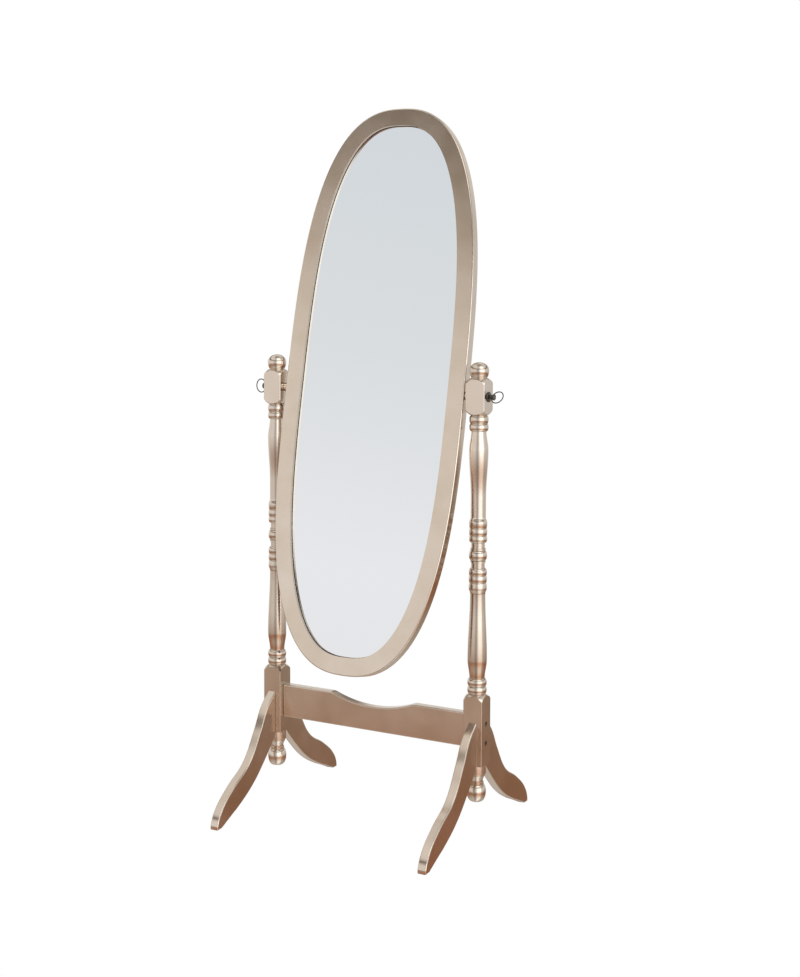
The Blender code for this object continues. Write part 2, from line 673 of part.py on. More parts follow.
def build_bolt(side, label, out, height):
    """A stretcher bolt, its head sunk in the post and its shank through the barrel nut."""
    name = f"{side}_{label}_bolt"
    top = POST_OUTER - BOLT_SINK
    tip = top - (STRETCHER_END - BOLT_HOLE_DEPTH)
    edge = TURNED_EDGE
    profile = [(0.0, 0.0), (BOLT_HEAD_RADIUS - edge, 0.0), (BOLT_HEAD_RADIUS, -edge)]
    profile += [(BOLT_HEAD_RADIUS, -BOLT_HEAD_HEIGHT), (BOLT_RADIUS, -BOLT_HEAD_HEIGHT)]
    profile += [(BOLT_RADIUS, edge - tip), (BOLT_RADIUS - edge, -tip), (0.0, -tip)]
    place = aim((out * top, 0.0, height), (out, 0, 0))
    bolt = turned_piece(name, profile, BLACK, None, place)
    socket = bpy.data.meshes.new(name + "_socket")
    shape = bmesh.new()
    bmesh.ops.create_cone(
        shape,
        cap_ends=True,
        segments=6,
        radius1=BOLT_SOCKET_RADIUS,
        radius2=BOLT_SOCKET_RADIUS,
        depth=2 * BOLT_SOCKET_DEPTH,
    )
    shape.to_mesh(socket)
    shape.free()
    add_cutter(name + "_socket", socket, name, place)
    cut(bolt)


def build_nut(side, label, x, height):
    """A barrel nut lying across the stretcher, with the bolt's hole through it."""
    name = f"{side}_{label}_barrel_nut"
    half = NUT_LENGTH / 2
    edge = TURNED_EDGE
    profile = [(0.0, half), (NUT_RADIUS - edge, half), (NUT_RADIUS, half - edge)]
    profile += [(NUT_RADIUS, edge - half), (NUT_RADIUS - edge, -half), (0.0, -half)]
    nut = turned_piece(name, profile, ZINC, None, aim((x, 0.0, height), (0, 1, 0)))
    mouth = aim((x + NUT_RADIUS, 0.0, height), (1, 0, 0))
    bore(name, name + "_thread", mouth, (BOLT_RADIUS + GAP, 2 * NUT_RADIUS + CUT_OVER))
    cut(nut)


# ---------------------------------------------------------------- the oval mirror
def moulding_section():
    """The frame's section: in from the oval's outer edge, and depth from its middle."""
    front, back, face = FRAME_FRONT, FRAME_BACK, FRAME_FACE
    soft, lip = FRAME_ROUND, LIP_ROUND
    points = []
    for i in range(3):
        angle = math.pi / 2 * i / 2
        points.append((soft - soft * math.cos(angle), front + soft - soft * math.sin(angle)))
    for i in range(3):
        angle = math.pi / 2 * i / 2
        points.append((face - lip + lip * math.sin(angle), front + lip - lip * math.cos(angle)))
    points += [(face, front + LIP_DEPTH), (REBATE_EDGE, front + LIP_DEPTH), (REBATE_EDGE, back)]
    for i in range(3):
        angle = math.pi / 2 * i / 2
        points.append((soft - soft * math.sin(angle), back - soft + soft * math.cos(angle)))
    return points


def stand_up():
    """Turns a flat oval upright: local X stays, local Y goes up and local Z goes to the front."""
    return Matrix.Translation((0.0, 0.0, OVAL_RISE)) @ Matrix.Rotation(math.pi / 2, 4, "X")


def build_frame(tilt):
    name = "mirror_frame"
    section = bpy.data.curves.new("moulding_section", "CURVE")
    section.dimensions = "2D"
    spline = section.splines.new("POLY")
    points = moulding_section()
    spline.points.add(len(points) - 1)
    for knot, (inward, depth) in zip(spline.points, points):
        knot.co = (inward, -depth, 0.0, 1.0)
    spline.use_cyclic_u = True
    guide = add_helper("moulding_section", section, cutters, Matrix.Identity(4))

    path = bpy.data.curves.new(name, "CURVE")
    path.dimensions = "2D"
    path.fill_mode = "NONE"
    path.bevel_mode = "OBJECT"
    path.bevel_object = guide
    spline = path.splines.new("POLY")
    ring = oval_curve(0.0, OVAL_POINTS)
    spline.points.add(len(ring) - 1)
    for knot, point in zip(spline.points, ring):
        knot.co = (point.x, point.y, 0.0, 1.0)
    spline.use_cyclic_u = True
    frame = add_piece(name, mesh_of_curve(name, path), LACQUER, tilt)
    frame.matrix_local = stand_up()
    bpy.context.view_layer.update()

    for side, out in (("left", -1), ("right", 1)):
        mouth = tilt.matrix_world @ aim((out * HALF_OVAL, 0.0, 0.0), (out, 0, 0))
        deep = INSERT_LENGTH + 2 * GAP
        bore(name, side + "_insert_bore", mouth, (INSERT_RADIUS + GAP, deep))
    return frame


def oval_panel(name, front, thickness, finish, tilt):
    """A flat oval in the rebate, from its front face backwards."""
    inset = REBATE_EDGE + REBATE_PLAY
    ring = [(p.x, p.y) for p in oval_curve(inset, OVAL_POINTS)]
    panel = add_piece(name, outline_mesh(name, [ring], thickness / 2), finish, tilt)
    panel.matrix_local = Matrix.Translation((0.0, front + thickness / 2, 0.0)) @ stand_up()
    return panel


def build_clips(tilt):
    """Offset clips screwed to the frame's back, each with its toe on the board."""
    low = BOARD_BACK + GAP
    high = FRAME_BACK + GAP
    riser = CLIP_OFFSET
    outline = [
        (-CLIP_FOOT, high),
        (riser, high),
        (riser, low),
        (riser + CLIP_TOE, low),
        (riser + CLIP_TOE, low + CLIP_PLATE),
        (riser + CLIP_PLATE, low + CLIP_PLATE),
        (riser + CLIP_PLATE, high + CLIP_PLATE),
        (-CLIP_FOOT, high + CLIP_PLATE),
    ]
    for number, share in enumerate(CLIP_PLACES, 1):
        point, inward = oval_place(share, REBATE_EDGE)
        across = Vector((inward.x, 0.0, inward.y))
        back = Vector((0.0, 1.0, 0.0))
        along = across.cross(back)
        place = Matrix.Translation((point.x, 0.0, point.y + OVAL_RISE))
        turn = Matrix((across, back, along)).transposed().to_4x4()
        name = f"backing_clip_{number}"
        clip = add_piece(name, outline_mesh(name, [outline], CLIP_WIDTH / 2), ZINC, tilt)
        clip.matrix_local = place @ turn
        at = place @ turn @ Vector((-CLIP_SCREW_INSET, high + CLIP_PLATE, 0.0))
        mouth = tilt.matrix_world @ aim(at, back)
        hole = (CLIP_SCREW_RADIUS + GAP, CLIP_SCREW_LENGTH + GAP)
        bore(name, name + "_hole", mouth, hole)
        bore("mirror_frame", f"clip_screw_{number}_pilot", mouth, hole)
        cut(clip)
        build_clip_screw(number, at + GAP * back, back, tilt)


def build_clip_screw(number, at, back, tilt):
    """A pan-head wood screw: local Z points out of its head."""
    end = GAP - CLIP_SCREW_LENGTH
    profile = [(0.0, CLIP_HEAD_HEIGHT), (CLIP_HEAD_FLAT, CLIP_HEAD_HEIGHT)]
    profile += [(CLIP_HEAD_RADIUS - TURNED_EDGE / 2, CLIP_HEAD_HEIGHT / 2), (CLIP_HEAD_RADIUS, 0.0)]
    profile += [(CLIP_SCREW_RADIUS, 0.0), (CLIP_SCREW_RADIUS, end + 2 * TURNED_EDGE), (0.0, end)]
    turned_piece(f"clip_screw_{number}", profile, ZINC, tilt, aim(at, back), BORE_STEPS)


# ---------------------------------------------------------------- the knobs and their fittings
def build_insert(side, out, tilt):
    """A threaded insert in the frame's edge, on the tilt axis."""
    top = HALF_OVAL - GAP
    edge = TURNED_EDGE
    inner = STUD_RADIUS + GAP
    profile = [(inner, 0.0), (INSERT_RADIUS - edge, 0.0), (INSERT_RADIUS, -edge)]
    profile += [(INSERT_RADIUS, edge - INSERT_LENGTH), (INSERT_RADIUS - edge, -INSERT_LENGTH)]
    profile += [(inner, -INSERT_LENGTH), (inner, 0.0)]
    place = aim((out * top, 0.0, 0.0), (out, 0, 0))
    turned_piece(side + "_frame_insert", profile, BRASS, tilt, place)


def build_spacer(side, out):
    """A wooden bush between the post and the oval's edge."""
    start = POST_INNER - GAP
    length = POST_SIDE_GAP - 2 * GAP
    inner = STUD_RADIUS + GAP
    edge = WOOD_EDGE
    profile = [(inner, 0.0), (SPACER_RADIUS - edge, 0.0), (SPACER_RADIUS, -edge)]
    profile += [(SPACER_RADIUS, edge - length), (SPACER_RADIUS - edge, -length)]
    profile += [(inner, -length), (inner, 0.0)]
    place = aim((out * start, 0.0, PIVOT_HEIGHT), (out, 0, 0))
    turned_piece(side + "_spacer", profile, LACQUER, None, place)


def build_washer(side, out):
    """A dished black washer on the post's outer face."""
    start = POST_OUTER + GAP
    inner = STUD_RADIUS + GAP
    top = WASHER_DOME
    profile = [(inner, top), (STEM_RADIUS, top), (0.82 * WASHER_RADIUS, 0.75 * top)]
    profile += [(WASHER_RADIUS, WASHER_RIM), (WASHER_RADIUS, 0.0), (inner, 0.0), (inner, top)]
    place = aim((out * start, 0.0, PIVOT_HEIGHT), (out, 0, 0))
    turned_piece(side + "_knob_washer", profile, BLACK, None, place)


def ring_curve(name, wire, points):
    """An oval ring of wire in the YZ plane, about its own middle."""
    curve = bpy.data.curves.new(name, "CURVE")
    curve.dimensions = "3D"
    curve.bevel_depth = wire
    curve.bevel_resolution = 1
    spline = curve.splines.new("POLY")
    spline.points.add(points - 1)
    for i, knot in enumerate(spline.points):
        angle = 2 * math.pi * i / points
        along = (RING_ALONG / 2 - RING_WIRE) * math.cos(angle)
        across = (RING_ACROSS / 2 - RING_WIRE) * math.sin(angle)
        knot.co = (0.0, across, along, 1.0)
    spline.use_cyclic_u = True
    return mesh_of_curve(name, curve)


def build_knob(side, out, turn):
    """The stud with its collar, and the ring through it, on an empty on the tilt axis."""
    axis = bpy.data.objects.new(side + "_knob_axis", None)
    pieces.objects.link(axis)
    axis.empty_display_size = 0.02
    # Local Z runs outwards along the stud, from the post's outer face.
    axis.matrix_world = aim((out * POST_OUTER, 0.0, PIVOT_HEIGHT), (out, 0, 0), turn)
    bpy.context.view_layer.update()

    tip = -(POST_SIZE + POST_SIDE_GAP + STUD_IN_FRAME)
    stem = GAP + WASHER_DOME + GAP
    edge = TURNED_EDGE
    collar = KNOB_LENGTH - COLLAR_LENGTH
    dish = KNOB_LENGTH - COLLAR_DISH
    profile = [(0.0, dish), (COLLAR_RADIUS - COLLAR_RIM, dish)]
    profile += [(COLLAR_RADIUS - COLLAR_RIM + edge, KNOB_LENGTH), (COLLAR_RADIUS - edge, KNOB_LENGTH)]
    profile += [(COLLAR_RADIUS, KNOB_LENGTH - edge), (COLLAR_RADIUS, collar + edge)]
    profile += [(COLLAR_RADIUS - edge, collar), (STEM_RADIUS, collar), (STEM_RADIUS, stem)]
    profile += [(STUD_RADIUS, stem), (STUD_RADIUS, tip + edge), (STUD_RADIUS - edge, tip), (0.0, tip)]
    stud = turned_piece(side + "_knob_stud", profile, BLACK, axis, Matrix.Identity(4))

    centre = Matrix.Translation((0.0, 0.0, RING_REACH - RING_ALONG / 2))
    wire = ring_curve(side + "_knob_ring", RING_WIRE, RING_POINTS)
    ring = add_piece(side + "_knob_ring", wire, BLACK, axis)
    ring.matrix_local = centre
    hole = ring_curve(side + "_ring_hole", RING_WIRE + GAP, RING_POINTS)
    add_cutter(side + "_ring_hole", hole, stud.name, axis.matrix_world @ centre)
    cut(stud)


# ---------------------------------------------------------------- the whole mirror
clear_scene()
pieces = new_collection("cheval_floor_mirror")
cutters = new_collection("cutters")

for post_side, post_x in (("left", -POST_X), ("right", POST_X)):
    build_post(post_side, post_x)
    foot_place = Matrix.Translation((post_x, 0.0, 0.0))
    turned_piece(post_side + "_foot_finial", finial_profile(), LACQUER, None, foot_place)
    build_leg(post_side, post_x, "front", -1)
    build_leg(post_side, post_x, "rear", 1)
build_stretcher()

tilt_axis = bpy.data.objects.new("mirror_tilt_axis", None)
pieces.objects.link(tilt_axis)
tilt_axis.location = (0.0, 0.0, PIVOT_HEIGHT)
tilt_axis.rotation_euler = (-REST_TILT, 0.0, 0.0)
bpy.context.view_layer.update()
oval_frame = build_frame(tilt_axis)
oval_panel("mirror_glass", GLASS_FRONT, GLASS_THICKNESS, SILVERED, tilt_axis)
oval_panel("backing_board", BOARD_FRONT, BOARD_THICKNESS, BOARD, tilt_axis)
build_clips(tilt_axis)
cut(oval_frame)

for knob_side, knob_out, ring_turn in (("left", -1, LEFT_RING_TURN), ("right", 1, RIGHT_RING_TURN)):
    build_insert(knob_side, knob_out, tilt_axis)
    build_spacer(knob_side, knob_out)
    build_washer(knob_side, knob_out)
    build_knob(knob_side, knob_out, ring_turn)
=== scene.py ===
"""Cheval floor mirror: the finished look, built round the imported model.

Laid out as an add-on, and run as a script. Metres, +Z up, the mirror's face towards -Y.
"""

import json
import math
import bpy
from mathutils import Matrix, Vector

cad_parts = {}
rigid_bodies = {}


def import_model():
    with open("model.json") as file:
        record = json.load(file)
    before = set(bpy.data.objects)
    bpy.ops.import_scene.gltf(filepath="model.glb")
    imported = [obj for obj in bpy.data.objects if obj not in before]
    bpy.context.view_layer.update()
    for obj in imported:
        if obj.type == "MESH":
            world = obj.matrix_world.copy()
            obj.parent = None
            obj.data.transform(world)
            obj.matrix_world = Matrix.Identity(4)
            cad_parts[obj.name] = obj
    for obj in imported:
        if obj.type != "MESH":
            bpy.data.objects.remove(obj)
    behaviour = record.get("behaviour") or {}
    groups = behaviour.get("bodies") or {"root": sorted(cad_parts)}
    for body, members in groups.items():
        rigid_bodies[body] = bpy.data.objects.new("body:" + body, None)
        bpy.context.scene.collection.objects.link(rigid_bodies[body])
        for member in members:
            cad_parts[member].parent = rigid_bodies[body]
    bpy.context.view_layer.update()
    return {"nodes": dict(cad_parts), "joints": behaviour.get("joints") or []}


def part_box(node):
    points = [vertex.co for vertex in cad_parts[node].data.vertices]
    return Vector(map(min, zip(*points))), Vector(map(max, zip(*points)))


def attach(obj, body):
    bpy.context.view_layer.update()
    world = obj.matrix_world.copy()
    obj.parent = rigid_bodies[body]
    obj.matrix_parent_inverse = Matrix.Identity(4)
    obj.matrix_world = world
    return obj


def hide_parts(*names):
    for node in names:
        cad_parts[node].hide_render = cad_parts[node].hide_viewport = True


bl_info = {
    "name": "Cheval Floor Mirror",
    "version": (1, 0, 0),
    "blender": (4, 5, 0),
    "location": "View3D > Sidebar > Mirror",
    "description": "An oval tilting mirror on two turned posts, in champagne lacquer",
    "category": "Add Mesh",
}

import bmesh
import bpy
from mathutils import Matrix, Vector

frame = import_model()

# ---------------------------------------------------------------- where the model's pieces are
JOINTS = {joint["name"]: joint for joint in frame["joints"]}
POST_LOW, POST_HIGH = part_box("right_post")
STRETCHER_LOW, STRETCHER_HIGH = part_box("stretcher")
LEG_LOW, LEG_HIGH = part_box("right_rear_leg")
PIVOT_HEIGHT = JOINTS["mirror_tilt"]["pos_m"][2]
POST_SIZE = POST_HIGH.x - POST_LOW.x
POST_X = (POST_HIGH.x + POST_LOW.x) / 2
POST_INNER = POST_LOW.x
POST_OUTER = POST_HIGH.x
LOWER_BLOCK_BOTTOM = POST_LOW.z
STRETCHER_END = STRETCHER_HIGH.x
STRETCHER_TOP = STRETCHER_HIGH.z
STRETCHER_HEIGHT = STRETCHER_HIGH.z - STRETCHER_LOW.z
STRETCHER_THICKNESS = STRETCHER_HIGH.y - STRETCHER_LOW.y
LEG_START = LEG_LOW.y
TOE_ROUND = 0.0015
LEG_REACH = LEG_HIGH.y - LEG_LOW.y + TOE_ROUND
LEG_TOP = LEG_HIGH.z
LEG_THICKNESS = LEG_HIGH.x - LEG_LOW.x

# ---------------------------------------------------------------- sizes that don't change, metres
GAP = 0.0003  # between two pieces that touch
GLASS_THICKNESS = 0.003
BOARD_THICKNESS = 0.003
REBATE_WIDTH = 0.008
REBATE_PLAY = 0.001

CLIP_PLACES = (0.095, 0.25, 0.405, 0.595, 0.75, 0.905)  # shares of the way round the oval
CLIP_WIDTH = 0.014
CLIP_PLATE = 0.0012
CLIP_FOOT = 0.014
CLIP_TOE = 0.010
CLIP_OFFSET = 0.0015
CLIP_SCREW_INSET = 0.007
CLIP_SCREW_RADIUS = 0.0015
CLIP_SCREW_LENGTH = 0.012
CLIP_HEAD_RADIUS = 0.0035
CLIP_HEAD_HEIGHT = 0.002
CLIP_SLOT_WIDTH = 0.0007
CLIP_SLOT_LENGTH = 0.0036

HEAD_BLOCK_HEIGHT = 0.0525
LOWER_BLOCK_HEIGHT = 0.1345
BLOCK_DOME_HEIGHT = 0.0245
BLOCK_DOME_MARGIN = 0.0021
TURNED_RADIUS = 0.466 * POST_SIZE
MIDDLE_RADIUS = 0.438 * POST_SIZE
WAIST_RADIUS = 0.367 * POST_SIZE
NECK_RADIUS = 0.329 * POST_SIZE
NECK_RING_RADIUS = 0.372 * POST_SIZE
GROOVE_RADIUS = 0.400 * POST_SIZE
BALL_RADIUS = 0.478 * POST_SIZE
BALL_NECK_RADIUS = 0.376 * POST_SIZE
WAIST_LENGTH = 0.0415
UPPER_VASE_DROP = 0.040
LOWER_VASE_RISE = 0.038
NECK_RING_DROP = 0.0115
SEAM = 0.0005
BEAD_HEIGHT = 0.0160
MIDDLE_BEAD_HEIGHT = 0.0150
MIDDLE_BULB_HEIGHT = 0.0230
MIDDLE_BULB_FULLEST = 0.0113
MIDDLE_BALL_HEIGHT = 0.0210
MIDDLE_NECK_HEIGHT = 0.0155
BALL_CROWN = 0.0170
BALL_BASE = 0.0145

FINIAL_DROP = 0.078
FINIAL_CAP_HEIGHT = 0.0205
FINIAL_CAP_RADIUS = 0.462 * POST_SIZE
FINIAL_CAP_ROUND = 0.002
FINIAL_NECK_RADIUS = 0.318 * POST_SIZE
FINIAL_RING_RADIUS = 0.355 * POST_SIZE
FINIAL_RING_TOP = 0.0050
FINIAL_RING_BOTTOM = 0.0015
FINIAL_BULB_RADIUS = 0.468 * POST_SIZE
FINIAL_BULB_HEIGHT = 0.036
FINIAL_FULLEST = 0.55
FINIAL_SOLE_RADIUS = 0.235 * POST_SIZE
TENON_RADIUS = 0.006
TENON_LENGTH = 0.018

LEG_THROAT = 0.142
SOLE_LENGTH = 0.017
DOWEL_RADIUS = 0.004
DOWEL_LENGTH = 0.034
DOWEL_IN_POST = 0.014
DOWEL_HEIGHTS = (0.178, 0.219)

DIP_HALF_WIDTH = 0.098
DIP_DEPTH = 0.0187
DIP_FILLET = 0.030

BOLT_HEIGHTS = (0.1957, 0.2357)
BOLT_RADIUS = 0.003
BOLT_HEAD_RADIUS = 0.005
BOLT_HEAD_HEIGHT = 0.006
BOLT_SOCKET_RADIUS = 0.0028
BOLT_SOCKET_DEPTH = 0.003
BOLT_SINK = 0.0018
BOLT_END = 0.010
NUT_RADIUS = 0.005
NUT_LENGTH = 0.013
NUT_INSET = 0.030
NUT_SLOT_WIDTH = 0.0012
NUT_SLOT_DEPTH = 0.0012

STUD_RADIUS = 0.003
STUD_IN_FRAME = 0.016
INSERT_RADIUS = STUD_RADIUS + GAP + 0.0012
INSERT_LENGTH = 0.018
SPACER_RADIUS = 0.009
WASHER_RADIUS = 0.0106
WASHER_RIM = 0.0010
WASHER_DOME = 0.0028
STEM_RADIUS = 0.0048
KNOB_LENGTH = 0.0135
COLLAR_RADIUS = 0.0064
COLLAR_LENGTH = 0.0028
COLLAR_RIM = 0.0020
COLLAR_DISH = 0.0006
METAL_EDGE = 0.0006
WOOD_EDGE = 0.0008
SHEET_EDGE = 0.0003
CLIP_EDGE = 0.0002
OVERSHOOT = 0.002  # how far a cutter stands out past the face that it cuts

FLOOR_SIZE = 14.0
FLOOR_DROP = 0.0004  # under the soles, so that the two surfaces don't flicker

# Sizes of the patterns in the finishes, metres
FLAKE = 0.0006
SPRAY_DRIFT = 0.09
ORANGE_PEEL = 0.003
GLASS_WAVE = 0.12
FIBRE = 0.004
FIBRE_CLOUD = 0.06
SCREEN_PRINT = 0.01005
FLECK_LENGTH = 0.012
FLECK_WIDTH = 0.0008
ENAMEL_SKIN = 0.0015
ZINC_SPANGLE = 0.002
TOOL_MARK = 0.0004

# The camera: metres, degrees, millimetres and shares of the frame
CAMERA_PLACE = (1.6313, -2.8970, 1.1895)
CAMERA_HEADING = 28.52
CAMERA_DIP = 3.63
CAMERA_ROLL = 0.25
CAMERA_LENS = 58.48
CAMERA_SHIFT = (0.0014, -0.1337)

# What the lacquer reflects, by degrees above the horizon: floor, walls, a dark gap and ceiling
ROOM_STRENGTH = 4.6
ROOM_BY_HEIGHT = (
    (-90, (0.36, 0.34, 0.32)),
    (-45, (0.34, 0.32, 0.30)),
    (-30, (0.25, 0.20, 0.16)),
    (-22, (0.22, 0.078, 0.035)),
    (-18, (0.19, 0.105, 0.062)),
    (-14.5, (0.20, 0.15, 0.11)),
    (-10, (0.44, 0.43, 0.42)),
    (-5, (0.50, 0.50, 0.50)),
    (11, (0.46, 0.455, 0.45)),
    (17, (0.54, 0.53, 0.52)),
    (20.5, (0.40, 0.375, 0.345)),
    (22.5, (0.19, 0.155, 0.12)),
    (24.5, (0.03, 0.02, 0.015)),
    (30, (0.06, 0.05, 0.04)),
    (36, (0.46, 0.45, 0.44)),
    (62, (0.50, 0.49, 0.48)),
    (75, (0.20, 0.19, 0.18)),
    (90, (0.14, 0.13, 0.12)),
)
# And by degrees from the mirror's front round to the right, with a wide soft box at 40 to 80
ROOM_BY_BEARING = (
    (-180, (0.42, 0.42, 0.42)),
    (-120, (0.42, 0.42, 0.42)),
    (-60, (0.42, 0.42, 0.42)),
    (-28, (0.46, 0.46, 0.46)),
    (-8, (0.42, 0.42, 0.42)),
    (6, (0.22, 0.23, 0.245)),
    (16, (0.29, 0.30, 0.32)),
    (28, (0.47, 0.50, 0.54)),
    (40, (0.92, 0.97, 1.0)),
    (80, (0.92, 0.97, 1.0)),
    (95, (0.40, 0.42, 0.45)),
    (120, (0.40, 0.40, 0.40)),
    (150, (0.32, 0.32, 0.32)),
    (179.9, (0.42, 0.42, 0.42)),
)
# The pale cool sky for the clear reflection in the glass, by height
SKY_BY_HEIGHT = ((-20, "dedcda"), (9, "eeedf0"), (17, "e0e2e4"), (26, "d8dce1"), (60, "ccd2d8"))

# Fineness
OVAL_FINE = 8000
OVAL_POINTS = 400
RING_POINTS = 96
WIRE_POINTS = 20
TURNING_STEPS = 96
SMALL_STEPS = 48
CURVE_STEPS = 14
ROUND_SEGMENTS = 5

SIDES = (("left", -1), ("right", 1))


def linear(code):
    """The linear colour of an sRGB hex code, as red, green and blue."""
    shares = [int(code[i : i + 2], 16) / 255 for i in (0, 2, 4)]
    return tuple(c / 12.92 if c <= 0.04045 else ((c + 0.055) / 1.055) ** 2.4 for c in shares)


# ---------------------------------------------------------------- what a user may change
def length(name, about, value):
    return bpy.props.FloatProperty(name=name, description=about, default=value, unit="LENGTH")


def lean(name, about, degrees):
    value = math.radians(degrees)
    return bpy.props.FloatProperty(name=name, description=about, default=value, subtype="ANGLE")


def fullness(name, about, value):
    return bpy.props.FloatProperty(name=name, description=about, default=value)


def paint(name, about, code):
    value = linear(code)
    return bpy.props.FloatVectorProperty(name=name, description=about, default=value, subtype="COLOR")


class MirrorSizes(bpy.types.PropertyGroup):
    """Sizes of the mirror's own pieces"""

    oval_width: length("Oval width", "Over the frame's outer edge", 0.428)
    oval_height: length("Oval height", "Over the frame's outer edge", 1.201)
    end_fullness: fullness("End fullness", "Power of the curve at the ends: 2 is an ellipse's", 2.5)
    side_fullness: fullness("Side fullness", "Power of the curve at the sides: 2 is an ellipse's", 3.0)
    oval_rise: length("Oval rise", "The oval's centre above the tilt axis", 0.009)
    frame_face: length("Frame face", "Width of the flat face", 0.0455)
    frame_thickness: length("Frame thickness", "Front to back", 0.024)
    lip_depth: length("Lip depth", "From the frame's front face back to the glass", 0.008)
    lip_round: length("Lip rounding", "Radius of the inner edge of the frame's face", 0.0045)
    frame_round: length("Frame rounding", "Radius of its other edges", 0.003)
    rest_tilt: lean("Tilt at rest", "How far the top leans back", 11.7)
    post_round: length("Post edge rounding", "On the square blocks of the posts", 0.002)
    board_round: length("Leg and stretcher rounding", "On the edges of the sawn boards", 0.0025)
    ring_along: length("Ring length", "Along the stud", 0.026)
    ring_across: length("Ring width", "Across the stud", 0.031)
    ring_wire: length("Ring wire radius", "Half the wire", 0.00115)
    ring_reach: length("Ring reach", "From the post's face to the ring's far side", 0.0325)
    left_ring_turn: lean("Left ring turn", "About the stud", 0)
    right_ring_turn: lean("Right ring turn", "About the stud", -43)


class MirrorFinishes(bpy.types.PropertyGroup):
    """Colours of the mirror's finishes"""

    lacquer: paint("Lacquer", "Champagne metallic lacquer, seen face on", "dccfc2")
    # The deep tone is painted shade: the lacquer where its flakes are taken to lie edge on and catch no
    # light.
    lacquer_flake_shade: paint("Lacquer, deep", "The same lacquer where its flakes lie edge on", "cbbba9")
    silver: paint("Silvering", "What the mirror gives back", "f7f9f9")
    board: paint("Hardboard", "Pressed fibres", "7d563a")
    board_dark: paint("Hardboard, dark", "Darker fibres", "573722")
    zinc: paint("Zinc", "Bright zinc plating", "c9cbca")
    brass: paint("Brass", "Machined brass", "d9b56a")
    beech: paint("Beech", "Bare beech", "c9a27a")
    beech_dark: paint("Beech, dark", "Its flecks", "a67c55")
    black: paint("Black steel", "Baked black enamel", "4a443c")
    floor: paint("Floor", "The studio's white floor", "ffffff")


# ---------------------------------------------------------------- nodes and materials
NOISE = "ShaderNodeTexNoise"
WAVE = "ShaderNodeTexWave"
RAMP = "ShaderNodeValToRGB"
BUMP = "ShaderNodeBump"
MATH = "ShaderNodeMath"
MAP_RANGE = "ShaderNodeMapRange"
BACKGROUND = "ShaderNodeBackground"
MIX_SHADER = "ShaderNodeMixShader"
MULTIPLY = {"operation": "MULTIPLY"}


def join(tree, node, values=(), links=()):
    """Sets a node's sockets and links them; a link from a node comes from its first output."""
    for name, value in dict(values).items():
        node.inputs[name].default_value = value
    for name, source in dict(links).items():
        socket = source.outputs[0] if isinstance(source, bpy.types.Node) else source
        tree.links.new(socket, node.inputs[name])


def add(tree, kind, settings=(), values=(), links=(), stops=()):
    """A node in the tree, with its settings, its sockets' values, its links and a ramp's stops."""
    node = tree.nodes.new(kind)
    for name, value in dict(settings).items():
        setattr(node, name, value)
    join(tree, node, values, links)
    if stops:
        elements = node.color_ramp.elements
        while len(elements) > 1:
            elements.remove(elements[-1])
        elements[0].position = stops[0][0]
        for place, _ in stops[1:]:
            elements.new(place)
        for element, (_, colour) in zip(elements, stops):
            element.color = (*colour, 1.0)
    return node


def new_material(name):
    """An empty material with its Principled shader, its tree and the piece's own coordinates."""
    made = bpy.data.materials.new(name)
    made.use_nodes = True
    tree = made.node_tree
    shader = tree.nodes["Principled BSDF"]
    place = add(tree, "ShaderNodeTexCoord").outputs["Object"]
    return made, tree, shader, place


def champagne_lacquer():
    """Metallic lacquer sprayed on wood: fine aluminium flakes under a clear coat.

    It gives a soft satin reflection with a small bright one on top, a faint sparkle where flakes
    lie at different angles, bumped and also painted into the base colour, and the sprayed coat's slight
    orange peel.
    """
    finish = bpy.context.scene.mirror_finishes
    made, tree, shader, place = new_material("champagne_lacquer_on_wood")
    # Real flakes are some 0.05 mm, too fine to show, so they are drawn about ten times as coarse.
    flakes = add(tree, NOISE, values={"Scale": 1 / FLAKE, "Detail": 2.0}, links={"Vector": place})
    # Slow changes in the spray, and the dimples of its orange peel.
    spray = add(tree, NOISE, values={"Scale": 1 / SPRAY_DRIFT, "Detail": 3.0}, links={"Vector": place})
    peel = add(tree, NOISE, values={"Scale": 1 / ORANGE_PEEL, "Detail": 1.5}, links={"Vector": place})
    blend = add(tree, MATH, {"operation": "MULTIPLY_ADD"}, {1: 0.35}, {0: flakes, 2: spray})
    # Painted flake shade and glint: the flake noise darkens and lightens the base colour, mixed with the
    # spray's real slow unevenness.
    tones = ((0.42, finish.lacquer_flake_shade), (0.92, finish.lacquer))
    tone = add(tree, RAMP, links={"Fac": blend}, stops=tones)
    satin = {"From Min": 0.3, "From Max": 0.7, "To Min": 0.21, "To Max": 0.24}
    sheen = add(tree, MAP_RANGE, values=satin, links={"Value": spray})
    dimples = add(tree, BUMP, values={"Strength": 1.0, "Distance": 0.00002}, links={"Height": peel})
    lie = {"Height": flakes, "Normal": dimples}
    sparkle = add(tree, BUMP, values={"Strength": 1.0, "Distance": 0.000005}, links=lie)
    coat = {"Metallic": 1.0, "Coat Weight": 0.35, "Coat Roughness": 0.06}
    skin = {"Base Color": tone, "Roughness": sheen, "Normal": sparkle, "Coat Normal": dimples}
    join(tree, shader, coat, skin)
    return made


def silvered_glass():
    """Float glass with silver behind it: a clear reflection, a shade cooler than its surroundings.

    The sheet is flat to a few hundredths of a millimetre, over a hand's breadth.
    """
    made, tree, shader, place = new_material("silvered_float_glass")
    waves = add(tree, NOISE, values={"Scale": 1 / GLASS_WAVE, "Detail": 1.0}, links={"Vector": place})
    flat = add(tree, BUMP, values={"Strength": 1.0, "Distance": 0.00002}, links={"Height": waves})
    silver = (*bpy.context.scene.mirror_finishes.silver, 1.0)
    join(tree, shader, {"Base Color": silver, "Metallic": 1.0, "Roughness": 0.0}, {"Normal": flat})
    return made


